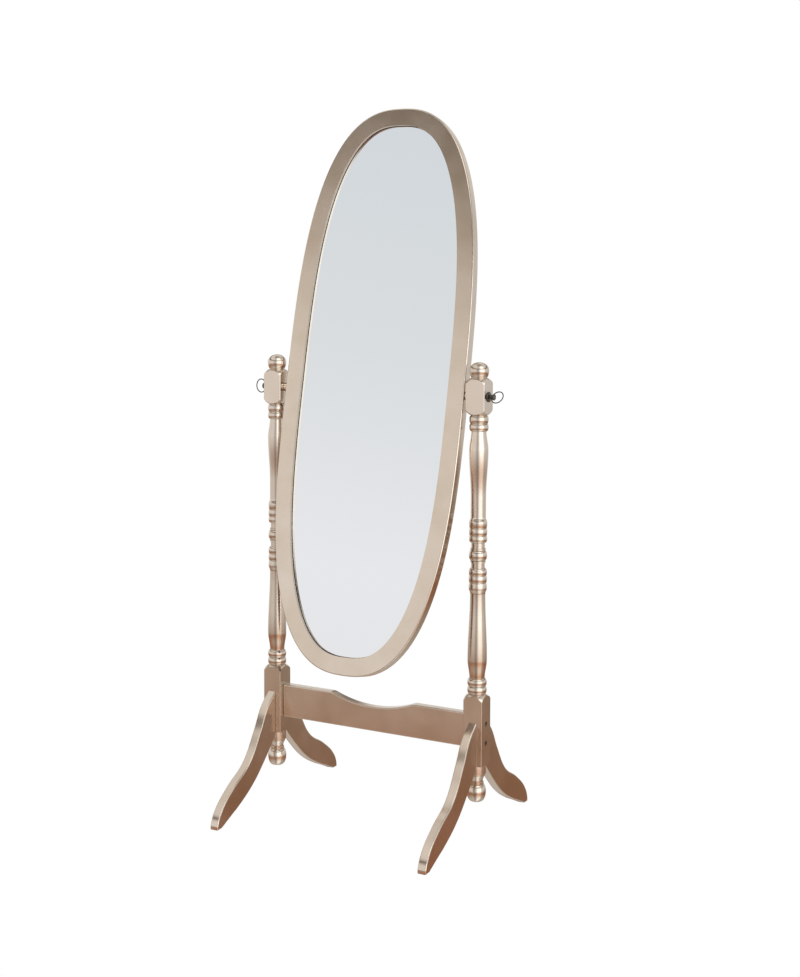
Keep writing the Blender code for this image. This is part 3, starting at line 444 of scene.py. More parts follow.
def brown_hardboard():
    """Wood fibres pressed wet on a wire screen: matt, mottled, with the screen's faint print."""
    finish = bpy.context.scene.mirror_finishes
    made, tree, shader, place = new_material("brown_hardboard")
    fibres = add(tree, NOISE, values={"Scale": 1 / FIBRE, "Detail": 6.0}, links={"Vector": place})
    clouds = add(tree, NOISE, values={"Scale": 1 / FIBRE_CLOUD, "Detail": 2.0}, links={"Vector": place})
    blend = add(tree, MATH, {"operation": "MULTIPLY_ADD"}, {1: 0.4}, {0: clouds, 2: fibres})
    tones = ((0.5, finish.board_dark), (0.9, finish.board))
    tone = add(tree, RAMP, links={"Fac": blend}, stops=tones)
    # A real screen's wires stand under 2 mm apart, too fine to show, so the print is drawn coarser.
    # A wave texture makes 20 radians for each unit of its scale.
    wires = {"Scale": 2 * math.pi / 20 / SCREEN_PRINT, "Distortion": 0.3}
    each_way = [
        add(tree, WAVE, {"bands_direction": axis}, wires, {"Vector": place}).outputs["Fac"]
        for axis in ("X", "Z")
    ]
    screen = add(tree, MATH, MULTIPLY, links=dict(enumerate(each_way)))
    printed = add(tree, BUMP, values={"Strength": 0.5, "Distance": 0.0001}, links={"Height": screen})
    nap = {"Height": fibres, "Normal": printed}
    rough = add(tree, BUMP, values={"Strength": 0.6, "Distance": 0.0001}, links=nap)
    join(tree, shader, {"Roughness": 0.78}, {"Base Color": tone, "Normal": rough})
    return made


def bare_metal(name, colour, rough, smooth, grain):
    """A plated or machined metal: its own colour, with marks this fine across its roughness."""
    made, tree, shader, place = new_material(name)
    marks = add(tree, NOISE, values={"Scale": 1 / grain, "Detail": 4.0}, links={"Vector": place})
    tones = ((0.3, tuple(0.8 * c for c in colour)), (0.7, tuple(colour)))
    tone = add(tree, RAMP, links={"Fac": marks}, stops=tones)
    spread = {"From Min": 0.3, "From Max": 0.7, "To Min": smooth, "To Max": rough}
    polish = add(tree, MAP_RANGE, values=spread, links={"Value": marks})
    scratches = add(tree, BUMP, values={"Strength": 0.4, "Distance": 0.00002}, links={"Height": marks})
    skin = {"Base Color": tone, "Roughness": polish, "Normal": scratches}
    join(tree, shader, {"Metallic": 1.0}, skin)
    return made


def turned_beech():
    """Bare beech rod: pale, with short darker flecks drawn out along its grain."""
    finish = bpy.context.scene.mirror_finishes
    made, tree, shader, place = new_material("bare_beech")
    # The dowels lie front to back, so the flecks are long that way.
    shrink = {"Scale": (1 / FLECK_WIDTH, 1 / FLECK_LENGTH, 1 / FLECK_WIDTH)}
    drawn = add(tree, "ShaderNodeMapping", values=shrink, links={"Vector": place})
    flecks = add(tree, NOISE, values={"Scale": 1.0, "Detail": 3.0}, links={"Vector": drawn})
    tones = ((0.35, finish.beech_dark), (0.6, finish.beech))
    tone = add(tree, RAMP, links={"Fac": flecks}, stops=tones)
    grain = add(tree, BUMP, values={"Strength": 0.5, "Distance": 0.00005}, links={"Height": flecks})
    join(tree, shader, {"Roughness": 0.6}, {"Base Color": tone, "Normal": grain})
    return made


def black_enamel():
    """Steel dipped in black enamel and baked: dark, fairly glossy, with a faint skin."""
    finish = bpy.context.scene.mirror_finishes
    made, tree, shader, place = new_material("baked_black_enamel")
    skin = add(tree, NOISE, values={"Scale": 1 / ENAMEL_SKIN, "Detail": 3.0}, links={"Vector": place})
    tones = ((0.35, tuple(0.6 * c for c in finish.black)), (0.65, finish.black))
    tone = add(tree, RAMP, links={"Fac": skin}, stops=tones)
    uneven = add(tree, BUMP, values={"Strength": 0.5, "Distance": 0.00002}, links={"Height": skin})
    gloss = {"Metallic": 0.5, "Roughness": 0.3, "Coat Weight": 0.5, "Coat Roughness": 0.1}
    join(tree, shader, gloss, {"Base Color": tone, "Normal": uneven})
    return made


def finish_named(slot):
    """The material for one of the record's slots, made the first time it is asked for."""
    colours = bpy.context.scene.mirror_finishes
    makers = {
        "champagne_lacquer": ("champagne_lacquer_on_wood", champagne_lacquer),
        "silvered_glass": ("silvered_float_glass", silvered_glass),
        "hardboard": ("brown_hardboard", brown_hardboard),
        "beech_dowel": ("bare_beech", turned_beech),
        "black_steel": ("baked_black_enamel", black_enamel),
        # Zinc plating: a grey sheen with small spangles.
        "zinc_steel": ("bright_zinc_plate", lambda: bare_metal(
            "bright_zinc_plate", tuple(colours.zinc), 0.42, 0.28, ZINC_SPANGLE
        )),
        # Machined brass: warm, with fine tool marks.
        "brass_insert": ("machined_brass", lambda: bare_metal(
            "machined_brass", tuple(colours.brass), 0.38, 0.25, TOOL_MARK
        )),
    }
    name, make = makers[slot]
    return bpy.data.materials.get(name) or make()


# ---------------------------------------------------------------- making meshes
def lathe(profile, steps):
    """A mesh turned about Z from (radius, height) points, from the top down.

    A profile that ends where it starts gives a ring. Points on the axis become poles.
    """
    shape = bmesh.new()
    closed = profile[0] == profile[-1]
    rings = []
    for radius, height in profile[:-1] if closed else profile:
        if radius < 1e-7:
            rings.append([shape.verts.new((0.0, 0.0, height))])
            continue
        ring = []
        for i in range(steps):
            angle = 2 * math.pi * i / steps
            ring.append(shape.verts.new((radius * math.cos(angle), radius * math.sin(angle), height)))
        rings.append(ring)
    pairs = list(zip(rings, rings[1:]))
    if closed:
        pairs.append((rings[-1], rings[0]))
    for upper, lower in pairs:
        for i in range(steps):
            j = (i + 1) % steps
            if len(upper) == 1 and len(lower) == 1:
                break
            if len(upper) == 1:
                shape.faces.new((upper[0], lower[i], lower[j]))
            elif len(lower) == 1:
                shape.faces.new((upper[i], lower[0], upper[j]))
            else:
                shape.faces.new((upper[i], lower[i], lower[j], upper[j]))
    bmesh.ops.recalc_face_normals(shape, faces=shape.faces)
    mesh = bpy.data.meshes.new("turning")
    shape.to_mesh(mesh)
    shape.free()
    return mesh


def box_mesh(low, high):
    """A box between two corners."""
    mesh = bpy.data.meshes.new("box")
    shape = bmesh.new()
    bmesh.ops.create_cube(shape, size=1.0)
    low, high = Vector(low), Vector(high)
    for vert in shape.verts:
        vert.co = (low + high) / 2 + vert.co * (high - low)
    shape.to_mesh(mesh)
    shape.free()
    return mesh


def outline_mesh(splines, half_depth, rounding=0.0, smooth=False):
    """Flat outlines made a solid from -half_depth to half_depth along Z, rounded inside them."""
    curve = bpy.data.curves.new("outline", "CURVE")
    curve.dimensions = "2D"
    curve.fill_mode = "BOTH"
    curve.extrude = half_depth - rounding
    curve.bevel_depth = rounding
    curve.bevel_resolution = ROUND_SEGMENTS - 2
    curve.offset = -rounding
    curve.resolution_u = CURVE_STEPS
    for points in splines:
        if smooth:
            spline = curve.splines.new("BEZIER")
            spline.bezier_points.add(len(points) - 1)
            for knot, (x, y, handle) in zip(spline.bezier_points, points):
                knot.co = (x, y, 0.0)
                knot.handle_left_type = handle
                knot.handle_right_type = handle
        else:
            spline = curve.splines.new("POLY")
            spline.points.add(len(points) - 1)
            for knot, (x, y) in zip(spline.points, points):
                knot.co = (x, y, 0.0, 1.0)
        spline.use_cyclic_u = True
    helper = new_object("outline", curve)
    mesh = evaluated_mesh(helper)
    bpy.data.objects.remove(helper, do_unlink=True)
    bpy.data.curves.remove(curve)
    shape = bmesh.new()
    shape.from_mesh(mesh)
    bmesh.ops.remove_doubles(shape, verts=shape.verts, dist=0.00001)
    bmesh.ops.dissolve_limit(
        shape, angle_limit=math.radians(0.05), verts=shape.verts, edges=shape.edges
    )
    bmesh.ops.recalc_face_normals(shape, faces=shape.faces)
    shape.to_mesh(mesh)
    shape.free()
    return mesh


def new_object(name, data):
    made = bpy.data.objects.new(name, data)
    bpy.context.scene.collection.objects.link(made)
    return made


def evaluated_mesh(obj):
    """The object's mesh with its modifiers applied."""
    bpy.context.view_layer.update()
    graph = bpy.context.evaluated_depsgraph_get()
    return bpy.data.meshes.new_from_object(obj.evaluated_get(graph))


def settle(obj):
    """Applies an object's modifiers for good."""
    mesh = evaluated_mesh(obj)
    old = obj.data
    obj.modifiers.clear()
    obj.data = mesh
    if old.users == 0:
        bpy.data.meshes.remove(old)
    return obj


def cut(obj, cutters, operation="DIFFERENCE"):
    """Takes meshes away from an object, or keeps what lies inside them."""
    group = bpy.data.collections.new("cutters")
    bpy.context.scene.collection.children.link(group)
    for mesh in cutters:
        cutter = bpy.data.objects.new("cutter", mesh)
        group.objects.link(cutter)
    boolean = obj.modifiers.new("cut", "BOOLEAN")
    boolean.operation = operation
    boolean.operand_type = "COLLECTION"
    boolean.collection = group
    boolean.solver = "EXACT"
    settle(obj)
    for cutter in list(group.objects):
        mesh = cutter.data
        bpy.data.objects.remove(cutter, do_unlink=True)
        bpy.data.meshes.remove(mesh)
    bpy.data.collections.remove(group)
    return obj


def piece(name, mesh, slot, body, nodes, sharp=35):
    """A finished piece in place: smooth over gentle bends, in its slot's finish, on its body."""
    made = new_object(name, mesh)
    return finish_piece(made, slot, body, nodes, sharp)


def finish_piece(made, slot, body, nodes, sharp=35):
    made.data.name = made.name
    made.data.shade_smooth()
    made.data.set_sharp_from_angle(angle=math.radians(sharp))
    weighted = made.modifiers.new("flat_faces_stay_flat", "WEIGHTED_NORMAL")
    weighted.keep_sharp = True
    settle(made)
    made.data.materials.clear()
    made.data.materials.append(finish_named(slot))
    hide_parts(*nodes)
    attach(made, body)
    return made


def aim(place, axis, roll=0.0):
    """A matrix that puts local Z along axis, at place, after a roll about it."""
    turn = Vector(axis).to_track_quat("Z", "Y").to_matrix().to_4x4()
    return Matrix.Translation(place) @ turn @ Matrix.Rotation(roll, 4, "Z")


def placed(mesh, matrix):
    mesh.transform(matrix)
    return mesh


def hole(matrix, *steps, segments=32):
    """A round cutter along local -Z, as (radius, depth) steps from its mouth down."""
    profile = [(0.0, OVERSHOOT)]
    top = OVERSHOOT
    for radius, depth in steps:
        profile += [(radius, top), (radius, -depth)]
        top = -depth
    profile.append((0.0, top))
    return placed(lathe(profile, segments), matrix)


# ---------------------------------------------------------------- curves
def arc(r0, z0, r1, z1, hollow=False, steps=CURVE_STEPS):
    """A quarter of an ellipse between two (radius, height) points, without its end."""
    points = []
    for i in range(steps):
        angle = math.pi / 2 * i / steps
        across, down = math.sin(angle), 1 - math.cos(angle)
        if hollow:
            across, down = down, across
        points.append((r0 + (r1 - r0) * across, z0 + (z1 - z0) * down))
    return points


def bead(top, height, radius, upper, lower):
    """A bead from its top down: out from the upper radius, round, and in to the lower one."""
    middle = top - height / 2
    outwards = arc(upper, top, radius, middle)
    return outwards + arc(radius, middle, lower, top - height, hollow=True)


def swell(r0, z0, r1, z1, steps=2 * CURVE_STEPS):
    """A soft S from one (radius, height) to another, without its end."""
    points = []
    for i in range(steps):
        share = i / steps
        ease = (1 - math.cos(math.pi * share)) / 2
        points.append((r0 + (r1 - r0) * ease, z0 + (z1 - z0) * share))
    return points


def block_radii():
    """How far a block's rounded corners stand from the post's axis, and its dome's radius."""
    soft = bpy.context.scene.mirror_sizes.post_round
    corner = POST_SIZE / math.sqrt(2) - soft * (math.sqrt(2) - 1)
    return corner, corner + BLOCK_DOME_MARGIN


def block_dome(corner, upward, neck):
    """The turned shoulder of a square block, whose corners are cut at this height."""
    corner_radius, dome_radius = block_radii()
    sign = 1 if upward else -1
    points = []
    steps = 2 * CURVE_STEPS
    for i in range(steps + 1):
        radius = neck + (dome_radius - neck) * math.sin(math.pi / 2 * i / steps)
        rise = math.sqrt(max(0.0, 1 - (radius / dome_radius) ** 2))
        base = math.sqrt(1 - (corner_radius / dome_radius) ** 2)
        points.append((radius, corner + sign * BLOCK_DOME_HEIGHT * (rise - base)))
    return points if upward else points[::-1]


def block_shoulder(corner, upward, neck):
    points = block_dome(corner, upward, neck)
    return points[0][1] if upward else points[-1][1]


def top_ball(neck_top):
    """The ball on a post's head, from its top down to where it meets the block's dome."""
    widest = neck_top + BALL_BASE
    last = math.acos(BALL_NECK_RADIUS / BALL_RADIUS)
    stretch = BALL_BASE / math.sin(last)
    steps = 2 * CURVE_STEPS
    points = [(0.0, widest + BALL_CROWN)]
    for i in range(1, steps + 1):
        angle = math.pi / 2 * (1 - i / steps)
        points.append((BALL_RADIUS * math.cos(angle), widest + BALL_CROWN * math.sin(angle)))
    for i in range(1, CURVE_STEPS):
        angle = last * i / CURVE_STEPS
        points.append((BALL_RADIUS * math.cos(angle), widest - stretch * math.sin(angle)))
    return points


def middle_group(middle):
    """The ball in the middle of a post, with a ringed neck, two beads and a bulb each way."""
    drop = NECK_RING_DROP
    neck_end = MIDDLE_NECK_HEIGHT - SEAM
    neck = [(NECK_RADIUS, 0.0), (NECK_RADIUS, drop - SEAM)]
    neck += [(NECK_RING_RADIUS, drop), (NECK_RING_RADIUS, neck_end)]
    neck_top = middle + MIDDLE_BALL_HEIGHT / 2 + MIDDLE_NECK_HEIGHT
    height, full = MIDDLE_BEAD_HEIGHT, MIDDLE_RADIUS
    groove = neck_top + 2 * height
    widest = groove + MIDDLE_BULB_FULLEST
    points = swell(WAIST_RADIUS, groove + MIDDLE_BULB_HEIGHT, full, widest)
    points += arc(full, widest, GROOVE_RADIUS, groove, True)
    points += bead(groove, height, full, GROOVE_RADIUS, GROOVE_RADIUS)
    points += bead(groove - height, height, full, GROOVE_RADIUS, NECK_RADIUS)
    points += [(radius, neck_top - down) for radius, down in neck]
    ball_top = middle + MIDDLE_BALL_HEIGHT / 2
    points += bead(ball_top, MIDDLE_BALL_HEIGHT, full, NECK_RADIUS, NECK_RADIUS)
    neck_bottom = 2 * middle - neck_top
    points += [(radius, neck_bottom + down) for radius, down in reversed(neck)]
    groove = neck_bottom - 2 * height
    widest = groove - MIDDLE_BULB_FULLEST
    points += bead(neck_bottom, height, full, NECK_RADIUS, GROOVE_RADIUS)
    points += bead(neck_bottom - height, height, full, GROOVE_RADIUS, GROOVE_RADIUS)
    points += arc(GROOVE_RADIUS, groove, full, widest)
    points += swell(full, widest, WAIST_RADIUS, groove - MIDDLE_BULB_HEIGHT)
    return points


def post_profile():
    """The post's turned outline, from the top of its ball down to the lower block's flat end."""
    head_top = PIVOT_HEIGHT + HEAD_BLOCK_HEIGHT / 2
    head_bottom = PIVOT_HEIGHT - HEAD_BLOCK_HEIGHT / 2
    lower_top = LOWER_BLOCK_BOTTOM + LOWER_BLOCK_HEIGHT
    points = top_ball(block_shoulder(head_top, True, BALL_NECK_RADIUS))
    points += block_dome(head_top, True, BALL_NECK_RADIUS)
    points += block_dome(head_bottom, False, GROOVE_RADIUS)
    top = block_shoulder(head_bottom, False, GROOVE_RADIUS) - SEAM
    points += bead(top, BEAD_HEIGHT, TURNED_RADIUS, GROOVE_RADIUS, GROOVE_RADIUS)
    points += bead(top - BEAD_HEIGHT, BEAD_HEIGHT, TURNED_RADIUS, GROOVE_RADIUS, WAIST_RADIUS)

    vase_top = top - 2 * BEAD_HEIGHT
    foot = block_shoulder(lower_top, True, GROOVE_RADIUS) + SEAM
    vase_bottom = foot + 2 * BEAD_HEIGHT
    middle = (vase_top + vase_bottom) / 2
    half_group = MIDDLE_BALL_HEIGHT / 2 + MIDDLE_NECK_HEIGHT
    half_group += 2 * MIDDLE_BEAD_HEIGHT + MIDDLE_BULB_HEIGHT
    waist = middle + half_group

    full = vase_top - UPPER_VASE_DROP
    points += swell(WAIST_RADIUS, vase_top, TURNED_RADIUS, full)
    points += swell(TURNED_RADIUS, full, WAIST_RADIUS, waist + WAIST_LENGTH)
    points.append((WAIST_RADIUS, waist + WAIST_LENGTH))
    points += middle_group(middle)
    full = vase_bottom + LOWER_VASE_RISE
    points += swell(WAIST_RADIUS, middle - half_group, TURNED_RADIUS, full)
    points += swell(TURNED_RADIUS, full, WAIST_RADIUS, vase_bottom)

    points += bead(vase_bottom, BEAD_HEIGHT, TURNED_RADIUS, WAIST_RADIUS, GROOVE_RADIUS)
    points += bead(foot + BEAD_HEIGHT, BEAD_HEIGHT, TURNED_RADIUS, GROOVE_RADIUS, GROOVE_RADIUS)
    points += block_dome(lower_top, True, GROOVE_RADIUS)
    dome_radius = block_radii()[1]
    points += [(dome_radius, LOWER_BLOCK_BOTTOM), (0.0, LOWER_BLOCK_BOTTOM)]
    return points


def finial_profile():
    """The foot turning: tenon, cap, neck with its ring, and bulb with a flat end."""
    tenon_top = LOWER_BLOCK_BOTTOM + TENON_LENGTH - GAP
    cap = LOWER_BLOCK_BOTTOM - GAP
    cap_end = cap - FINIAL_CAP_HEIGHT
    edge = FINIAL_CAP_ROUND
    bottom = LOWER_BLOCK_BOTTOM - FINIAL_DROP
    bulb = bottom + FINIAL_BULB_HEIGHT
    widest = bottom + FINIAL_FULLEST * FINIAL_BULB_HEIGHT
    ring_top = bulb + FINIAL_RING_TOP
    ring_bottom = bulb + FINIAL_RING_BOTTOM
    points = [(0.0, tenon_top), (TENON_RADIUS, tenon_top), (TENON_RADIUS, cap)]
    points += arc(FINIAL_CAP_RADIUS - edge, cap, FINIAL_CAP_RADIUS, cap - edge, steps=5)
    points += arc(FINIAL_CAP_RADIUS, cap_end + edge, FINIAL_CAP_RADIUS - edge, cap_end, True, 5)
    points += swell(FINIAL_CAP_RADIUS - edge, cap_end, FINIAL_NECK_RADIUS, ring_top + edge)
    points += [(FINIAL_NECK_RADIUS, ring_top + SEAM), (FINIAL_RING_RADIUS, ring_top - SEAM)]
    points += [(FINIAL_RING_RADIUS, ring_bottom + SEAM), (FINIAL_NECK_RADIUS, ring_bottom - SEAM)]
    points += arc(FINIAL_NECK_RADIUS, bulb, FINIAL_BULB_RADIUS, widest)
    points += arc(FINIAL_BULB_RADIUS, widest, FINIAL_SOLE_RADIUS, bottom, True)
    points += [(FINIAL_SOLE_RADIUS, bottom), (0.0, bottom)]
    return points


def leg_outline():
    """A leg seen from its side: how far out from the post's face, height and kind of knot."""
    reach, top, throat = LEG_REACH, LEG_TOP, LEG_THROAT
    outer = [(0.14, 0.885), (0.274, 0.683), (0.457, 0.454), (0.73, 0.30), (0.927, 0.15), (0.99, 0.045)]
    inner = [(0.77, 0.108), (0.635, 0.20), (0.388, 0.425), (0.164, 0.735)]
    points = [(0.0, top, "VECTOR")]
    points += [(reach * out, top * up, "AUTO") for out, up in outer]
    points += [(reach - TOE_ROUND, 0.0, "VECTOR"), (reach - SOLE_LENGTH, 0.0, "VECTOR")]
    points += [(reach * out, throat * up, "AUTO") for out, up in inner]
    points.append((0.0, throat, "VECTOR"))
    return points


def stretcher_outline():
    """The stretcher seen from the front: straight shoulders, and a long dip filleted into them."""
    bow = (DIP_HALF_WIDTH**2 + DIP_DEPTH**2) / (2 * DIP_DEPTH)
    centre = STRETCHER_TOP - DIP_DEPTH + bow
    fillet_x = math.sqrt((bow + DIP_FILLET) ** 2 - (centre - STRETCHER_TOP + DIP_FILLET) ** 2)
    meet = math.atan2(fillet_x, centre - STRETCHER_TOP + DIP_FILLET)
    right = []
    steps = 2 * CURVE_STEPS
    for i in range(steps + 1):
        angle = meet * i / steps
        right.append((bow * math.sin(angle), centre - bow * math.cos(angle)))
    for i in range(1, CURVE_STEPS + 1):
        angle = meet * (1 - i / CURVE_STEPS)
        drop = DIP_FILLET * (1 - math.cos(angle))
        right.append((fillet_x - DIP_FILLET * math.sin(angle), STRETCHER_TOP - drop))
    bottom = STRETCHER_TOP - STRETCHER_HEIGHT
    right += [(STRETCHER_END, STRETCHER_TOP), (STRETCHER_END, bottom)]
    return right + [(-x, z) for x, z in reversed(right) if x > 0]


def oval_course():
    """The oval's outer edge as closely spaced points, and how far along it each one lies."""
    sizes = bpy.context.scene.mirror_sizes
    points = []
    for i in range(OVAL_FINE + 1):
        angle = 2 * math.pi * i / OVAL_FINE
        across, up = math.cos(angle), math.sin(angle)
        x = sizes.oval_width / 2 * math.copysign(abs(across) ** (2 / sizes.end_fullness), across)
        y = sizes.oval_height / 2 * math.copysign(abs(up) ** (2 / sizes.side_fullness), up)
        points.append(Vector((x, y)))
    lengths = [0.0]
    for a, b in zip(points, points[1:]):
        lengths.append(lengths[-1] + (b - a).length)
    return points, lengths


def inwards(behind, ahead):
    """The direction towards the oval's inside, between two points on it."""
    along = (ahead - behind).normalized()
    return Vector((-along.y, along.x))


def oval_place(share, inset):
    """A point this share of the way round the oval, and the direction towards its inside."""
    points, lengths = oval_course()
    i = next(i for i, length in enumerate(lengths) if length >= share * lengths[-1])
    inward = inwards(points[i - 1], points[(i + 1) % OVAL_FINE])
    return points[i] + inset * inward, inward


def oval_ring(inset, count):
    """Points round the oval, this far inside its outer edge, evenly spaced."""
    points, lengths = oval_course()
    picked = []
    at = 0
    for step in range(count):
        while lengths[at] < lengths[-1] * step / count:
            at += 1
        picked.append(points[at])
    moved = [
        point + inset * inwards(picked[i - 1], picked[(i + 1) % count])
        for i, point in enumerate(picked)
    ]
    return [(point.x, point.y) for point in moved]


# ---------------------------------------------------------------- geometry nodes
def new_tree(name, sockets):
    """A Geometry Nodes tree with named inputs, its input node and its output node."""
    tree = bpy.data.node_groups.new(name, "GeometryNodeTree")
    tree.interface.new_socket(name="Geometry", in_out="OUTPUT", socket_type="NodeSocketGeometry")
    tree.interface.new_socket(name="Geometry", in_out="INPUT", socket_type="NodeSocketGeometry")
    for label, kind in sockets:
        tree.interface.new_socket(name=label, in_out="INPUT", socket_type="NodeSocket" + kind)
    return tree, add(tree, "NodeGroupInput"), add(tree, "NodeGroupOutput")


def grown(name, mesh, tree, values):
    """An object with the tree's result as its plain mesh."""
    made = new_object(name, mesh)
    modifier = made.modifiers.new(tree.name, "NODES")
    modifier.node_group = tree
    for item in tree.interface.items_tree:
        if item.in_out == "INPUT" and item.name in values:
            modifier[item.identifier] = values[item.name]
    return settle(made)


def end_tree(tree, geometry, source, output):
    """Ends a tree in Realize Instances and Set Material."""
    real = add(tree, "GeometryNodeRealizeInstances", links={"Geometry": geometry})
    finish = {"Geometry": real, "Material": source.outputs["Finish"]}
    join(tree, output, links={0: add(tree, "GeometryNodeSetMaterial", links=finish)})


def oval_rule(tree, source):
    """An oval curve: half the size times a power of the cosine or sine, evenly resampled."""
    course = add(tree, "GeometryNodeSplineParameter")
    turn = add(tree, MATH, MULTIPLY, {1: 2 * math.pi}, {0: course})
    sides = []
    for wave, size, power in (
        ("COSINE", "Width", "End fullness"),
        ("SINE", "Height", "Side fullness"),
    ):
        value = add(tree, MATH, {"operation": wave}, links={0: turn})
        sign = add(tree, MATH, {"operation": "SIGN"}, links={0: value})
        share = add(tree, MATH, {"operation": "ABSOLUTE"}, links={0: value})
        to = add(tree, MATH, {"operation": "DIVIDE"}, {0: 2.0}, {1: source.outputs[power]})
        bent = add(tree, MATH, {"operation": "POWER"}, links={0: share, 1: to})
        signed = add(tree, MATH, MULTIPLY, links={0: bent, 1: sign})
        half = add(tree, MATH, MULTIPLY, {1: 0.5}, {0: source.outputs[size]})
        sides.append(add(tree, MATH, MULTIPLY, links={0: signed, 1: half}))
    place = add(tree, "ShaderNodeCombineXYZ", links={"X": sides[0], "Y": sides[1]})
    circle = add(tree, "GeometryNodeCurvePrimitiveCircle", values={"Resolution": OVAL_FINE})
    bent = add(tree, "GeometryNodeSetPosition", links={"Geometry": circle, "Position": place})
    even = {"Curve": bent, "Count": source.outputs["Points"]}
    return add(tree, "GeometryNodeResampleCurve", links=even)


def moulding_tree():
    """The oval frame: its section swept round the oval."""
    sockets = [(label, "Float") for label in ("Width", "Height", "End fullness", "Side fullness")]
    sockets += [("Points", "Int"), ("Section", "Object"), ("Finish", "Material")]
    tree, source, output = new_tree("oval_moulding", sockets)
    path = oval_rule(tree, source)
    level = add(tree, "GeometryNodeSetCurveNormal", {"mode": "Z_UP"}, links={"Curve": path})
    held = add(tree, "GeometryNodeObjectInfo", links={"Object": source.outputs["Section"]})
    sweep = {"Curve": level, "Profile Curve": held.outputs["Geometry"]}
    swept = add(tree, "GeometryNodeCurveToMesh", links=sweep)
    end_tree(tree, swept, source, output)
    return tree


def ring_tree():
    """A knob's ring: wire bent to an oval, in the XY plane."""
    sockets = [(label, "Float") for label in ("Along", "Across", "Wire radius")]
    tree, source, output = new_tree("wire_ring", sockets + [("Finish", "Material")])
    thick = source.outputs["Wire radius"]
    round_one = {"Resolution": RING_POINTS, "Radius": 1.0}
    circle = add(tree, "GeometryNodeCurvePrimitiveCircle", values=round_one)
    halves = []
    for label in ("Across", "Along"):
        full = add(tree, MATH, MULTIPLY, {1: 0.5}, {0: source.outputs[label]})
        halves.append(add(tree, MATH, {"operation": "SUBTRACT"}, links={0: full, 1: thick}))
    stretch = add(tree, "ShaderNodeCombineXYZ", values={"Z": 1.0}, links={"X": halves[0], "Y": halves[1]})
    oval = add(tree, "GeometryNodeTransform", links={"Geometry": circle, "Scale": stretch})
    wire = add(
        tree,
        "GeometryNodeCurvePrimitiveCircle",
        values={"Resolution": WIRE_POINTS},
        links={"Radius": thick},
    )
    bent = add(tree, "GeometryNodeCurveToMesh", links={"Curve": oval, "Profile Curve": wire})
    end_tree(tree, bent, source, output)
    return tree


def fixing_tree():
    """One fixing on each point, its local X towards the inside of the oval."""
    tree, source, output = new_tree("fixings_round_oval", (("Fixing", "Object"), ("Finish", "Material")))
    inward = add(
        tree, "GeometryNodeInputNamedAttribute", {"data_type": "FLOAT_VECTOR"}, {"Name": "inward"}
    )
    axes = {"axis": "X", "pivot_axis": "Z"}
    turn = add(tree, "FunctionNodeAlignRotationToVector", axes, links={"Vector": inward})
    held = add(tree, "GeometryNodeObjectInfo", links={"Object": source.outputs["Fixing"]})
    placing = {
        "Points": source.outputs["Geometry"],
        "Instance": held.outputs["Geometry"],
        "Rotation": turn,
    }
    end_tree(tree, add(tree, "GeometryNodeInstanceOnPoints", links=placing), source, output)
    return tree


# ---------------------------------------------------------------- places on the tilted oval
def tilted():
    """The oval's own space: X right, Y up and Z to the front, leaning as it does at rest."""
    sizes = bpy.context.scene.mirror_sizes
    axis = Matrix.Translation((0.0, 0.0, PIVOT_HEIGHT)) @ Matrix.Rotation(-sizes.rest_tilt, 4, "X")
    return axis @ Matrix.Translation((0.0, 0.0, sizes.oval_rise)) @ Matrix.Rotation(math.pi / 2, 4, "X")


def depths():
    """How far behind the middle of the frame's thickness each layer lies."""
    sizes = bpy.context.scene.mirror_sizes
    half = sizes.frame_thickness / 2
    glass_front = sizes.lip_depth - half + GAP
    board_front = glass_front + GLASS_THICKNESS + GAP
    return {
        "front": -half,
        "back": half,
        "rebate": sizes.lip_depth - half,
        "glass": glass_front,
        "board": board_front,
        "board_back": board_front + BOARD_THICKNESS,
    }


def moulding_section():
    """The frame's section: in from the oval's outer edge, and depth behind its middle."""
    sizes = bpy.context.scene.mirror_sizes
    at = depths()
    front, back, rebate = at["front"], at["back"], at["rebate"]
    face, soft, lip = sizes.frame_face, sizes.frame_round, sizes.lip_round
    rebate_edge = face - REBATE_WIDTH
    points = arc(0.0, front + soft, soft, front, True, ROUND_SEGMENTS)
    points += [(soft, front)]
    points += arc(face - lip, front, face, front + lip, steps=ROUND_SEGMENTS)
    points += [(face, front + lip), (face, rebate), (rebate_edge, rebate), (rebate_edge, back)]
    points += arc(soft, back, 0.0, back - soft, steps=ROUND_SEGMENTS)
    return points + [(0.0, back - soft)]


def clip_point(depth):
    """The clips' screws, in the clip's own space: X inwards, Z to the front."""
    return (-CLIP_SCREW_INSET, 0.0, -depth)


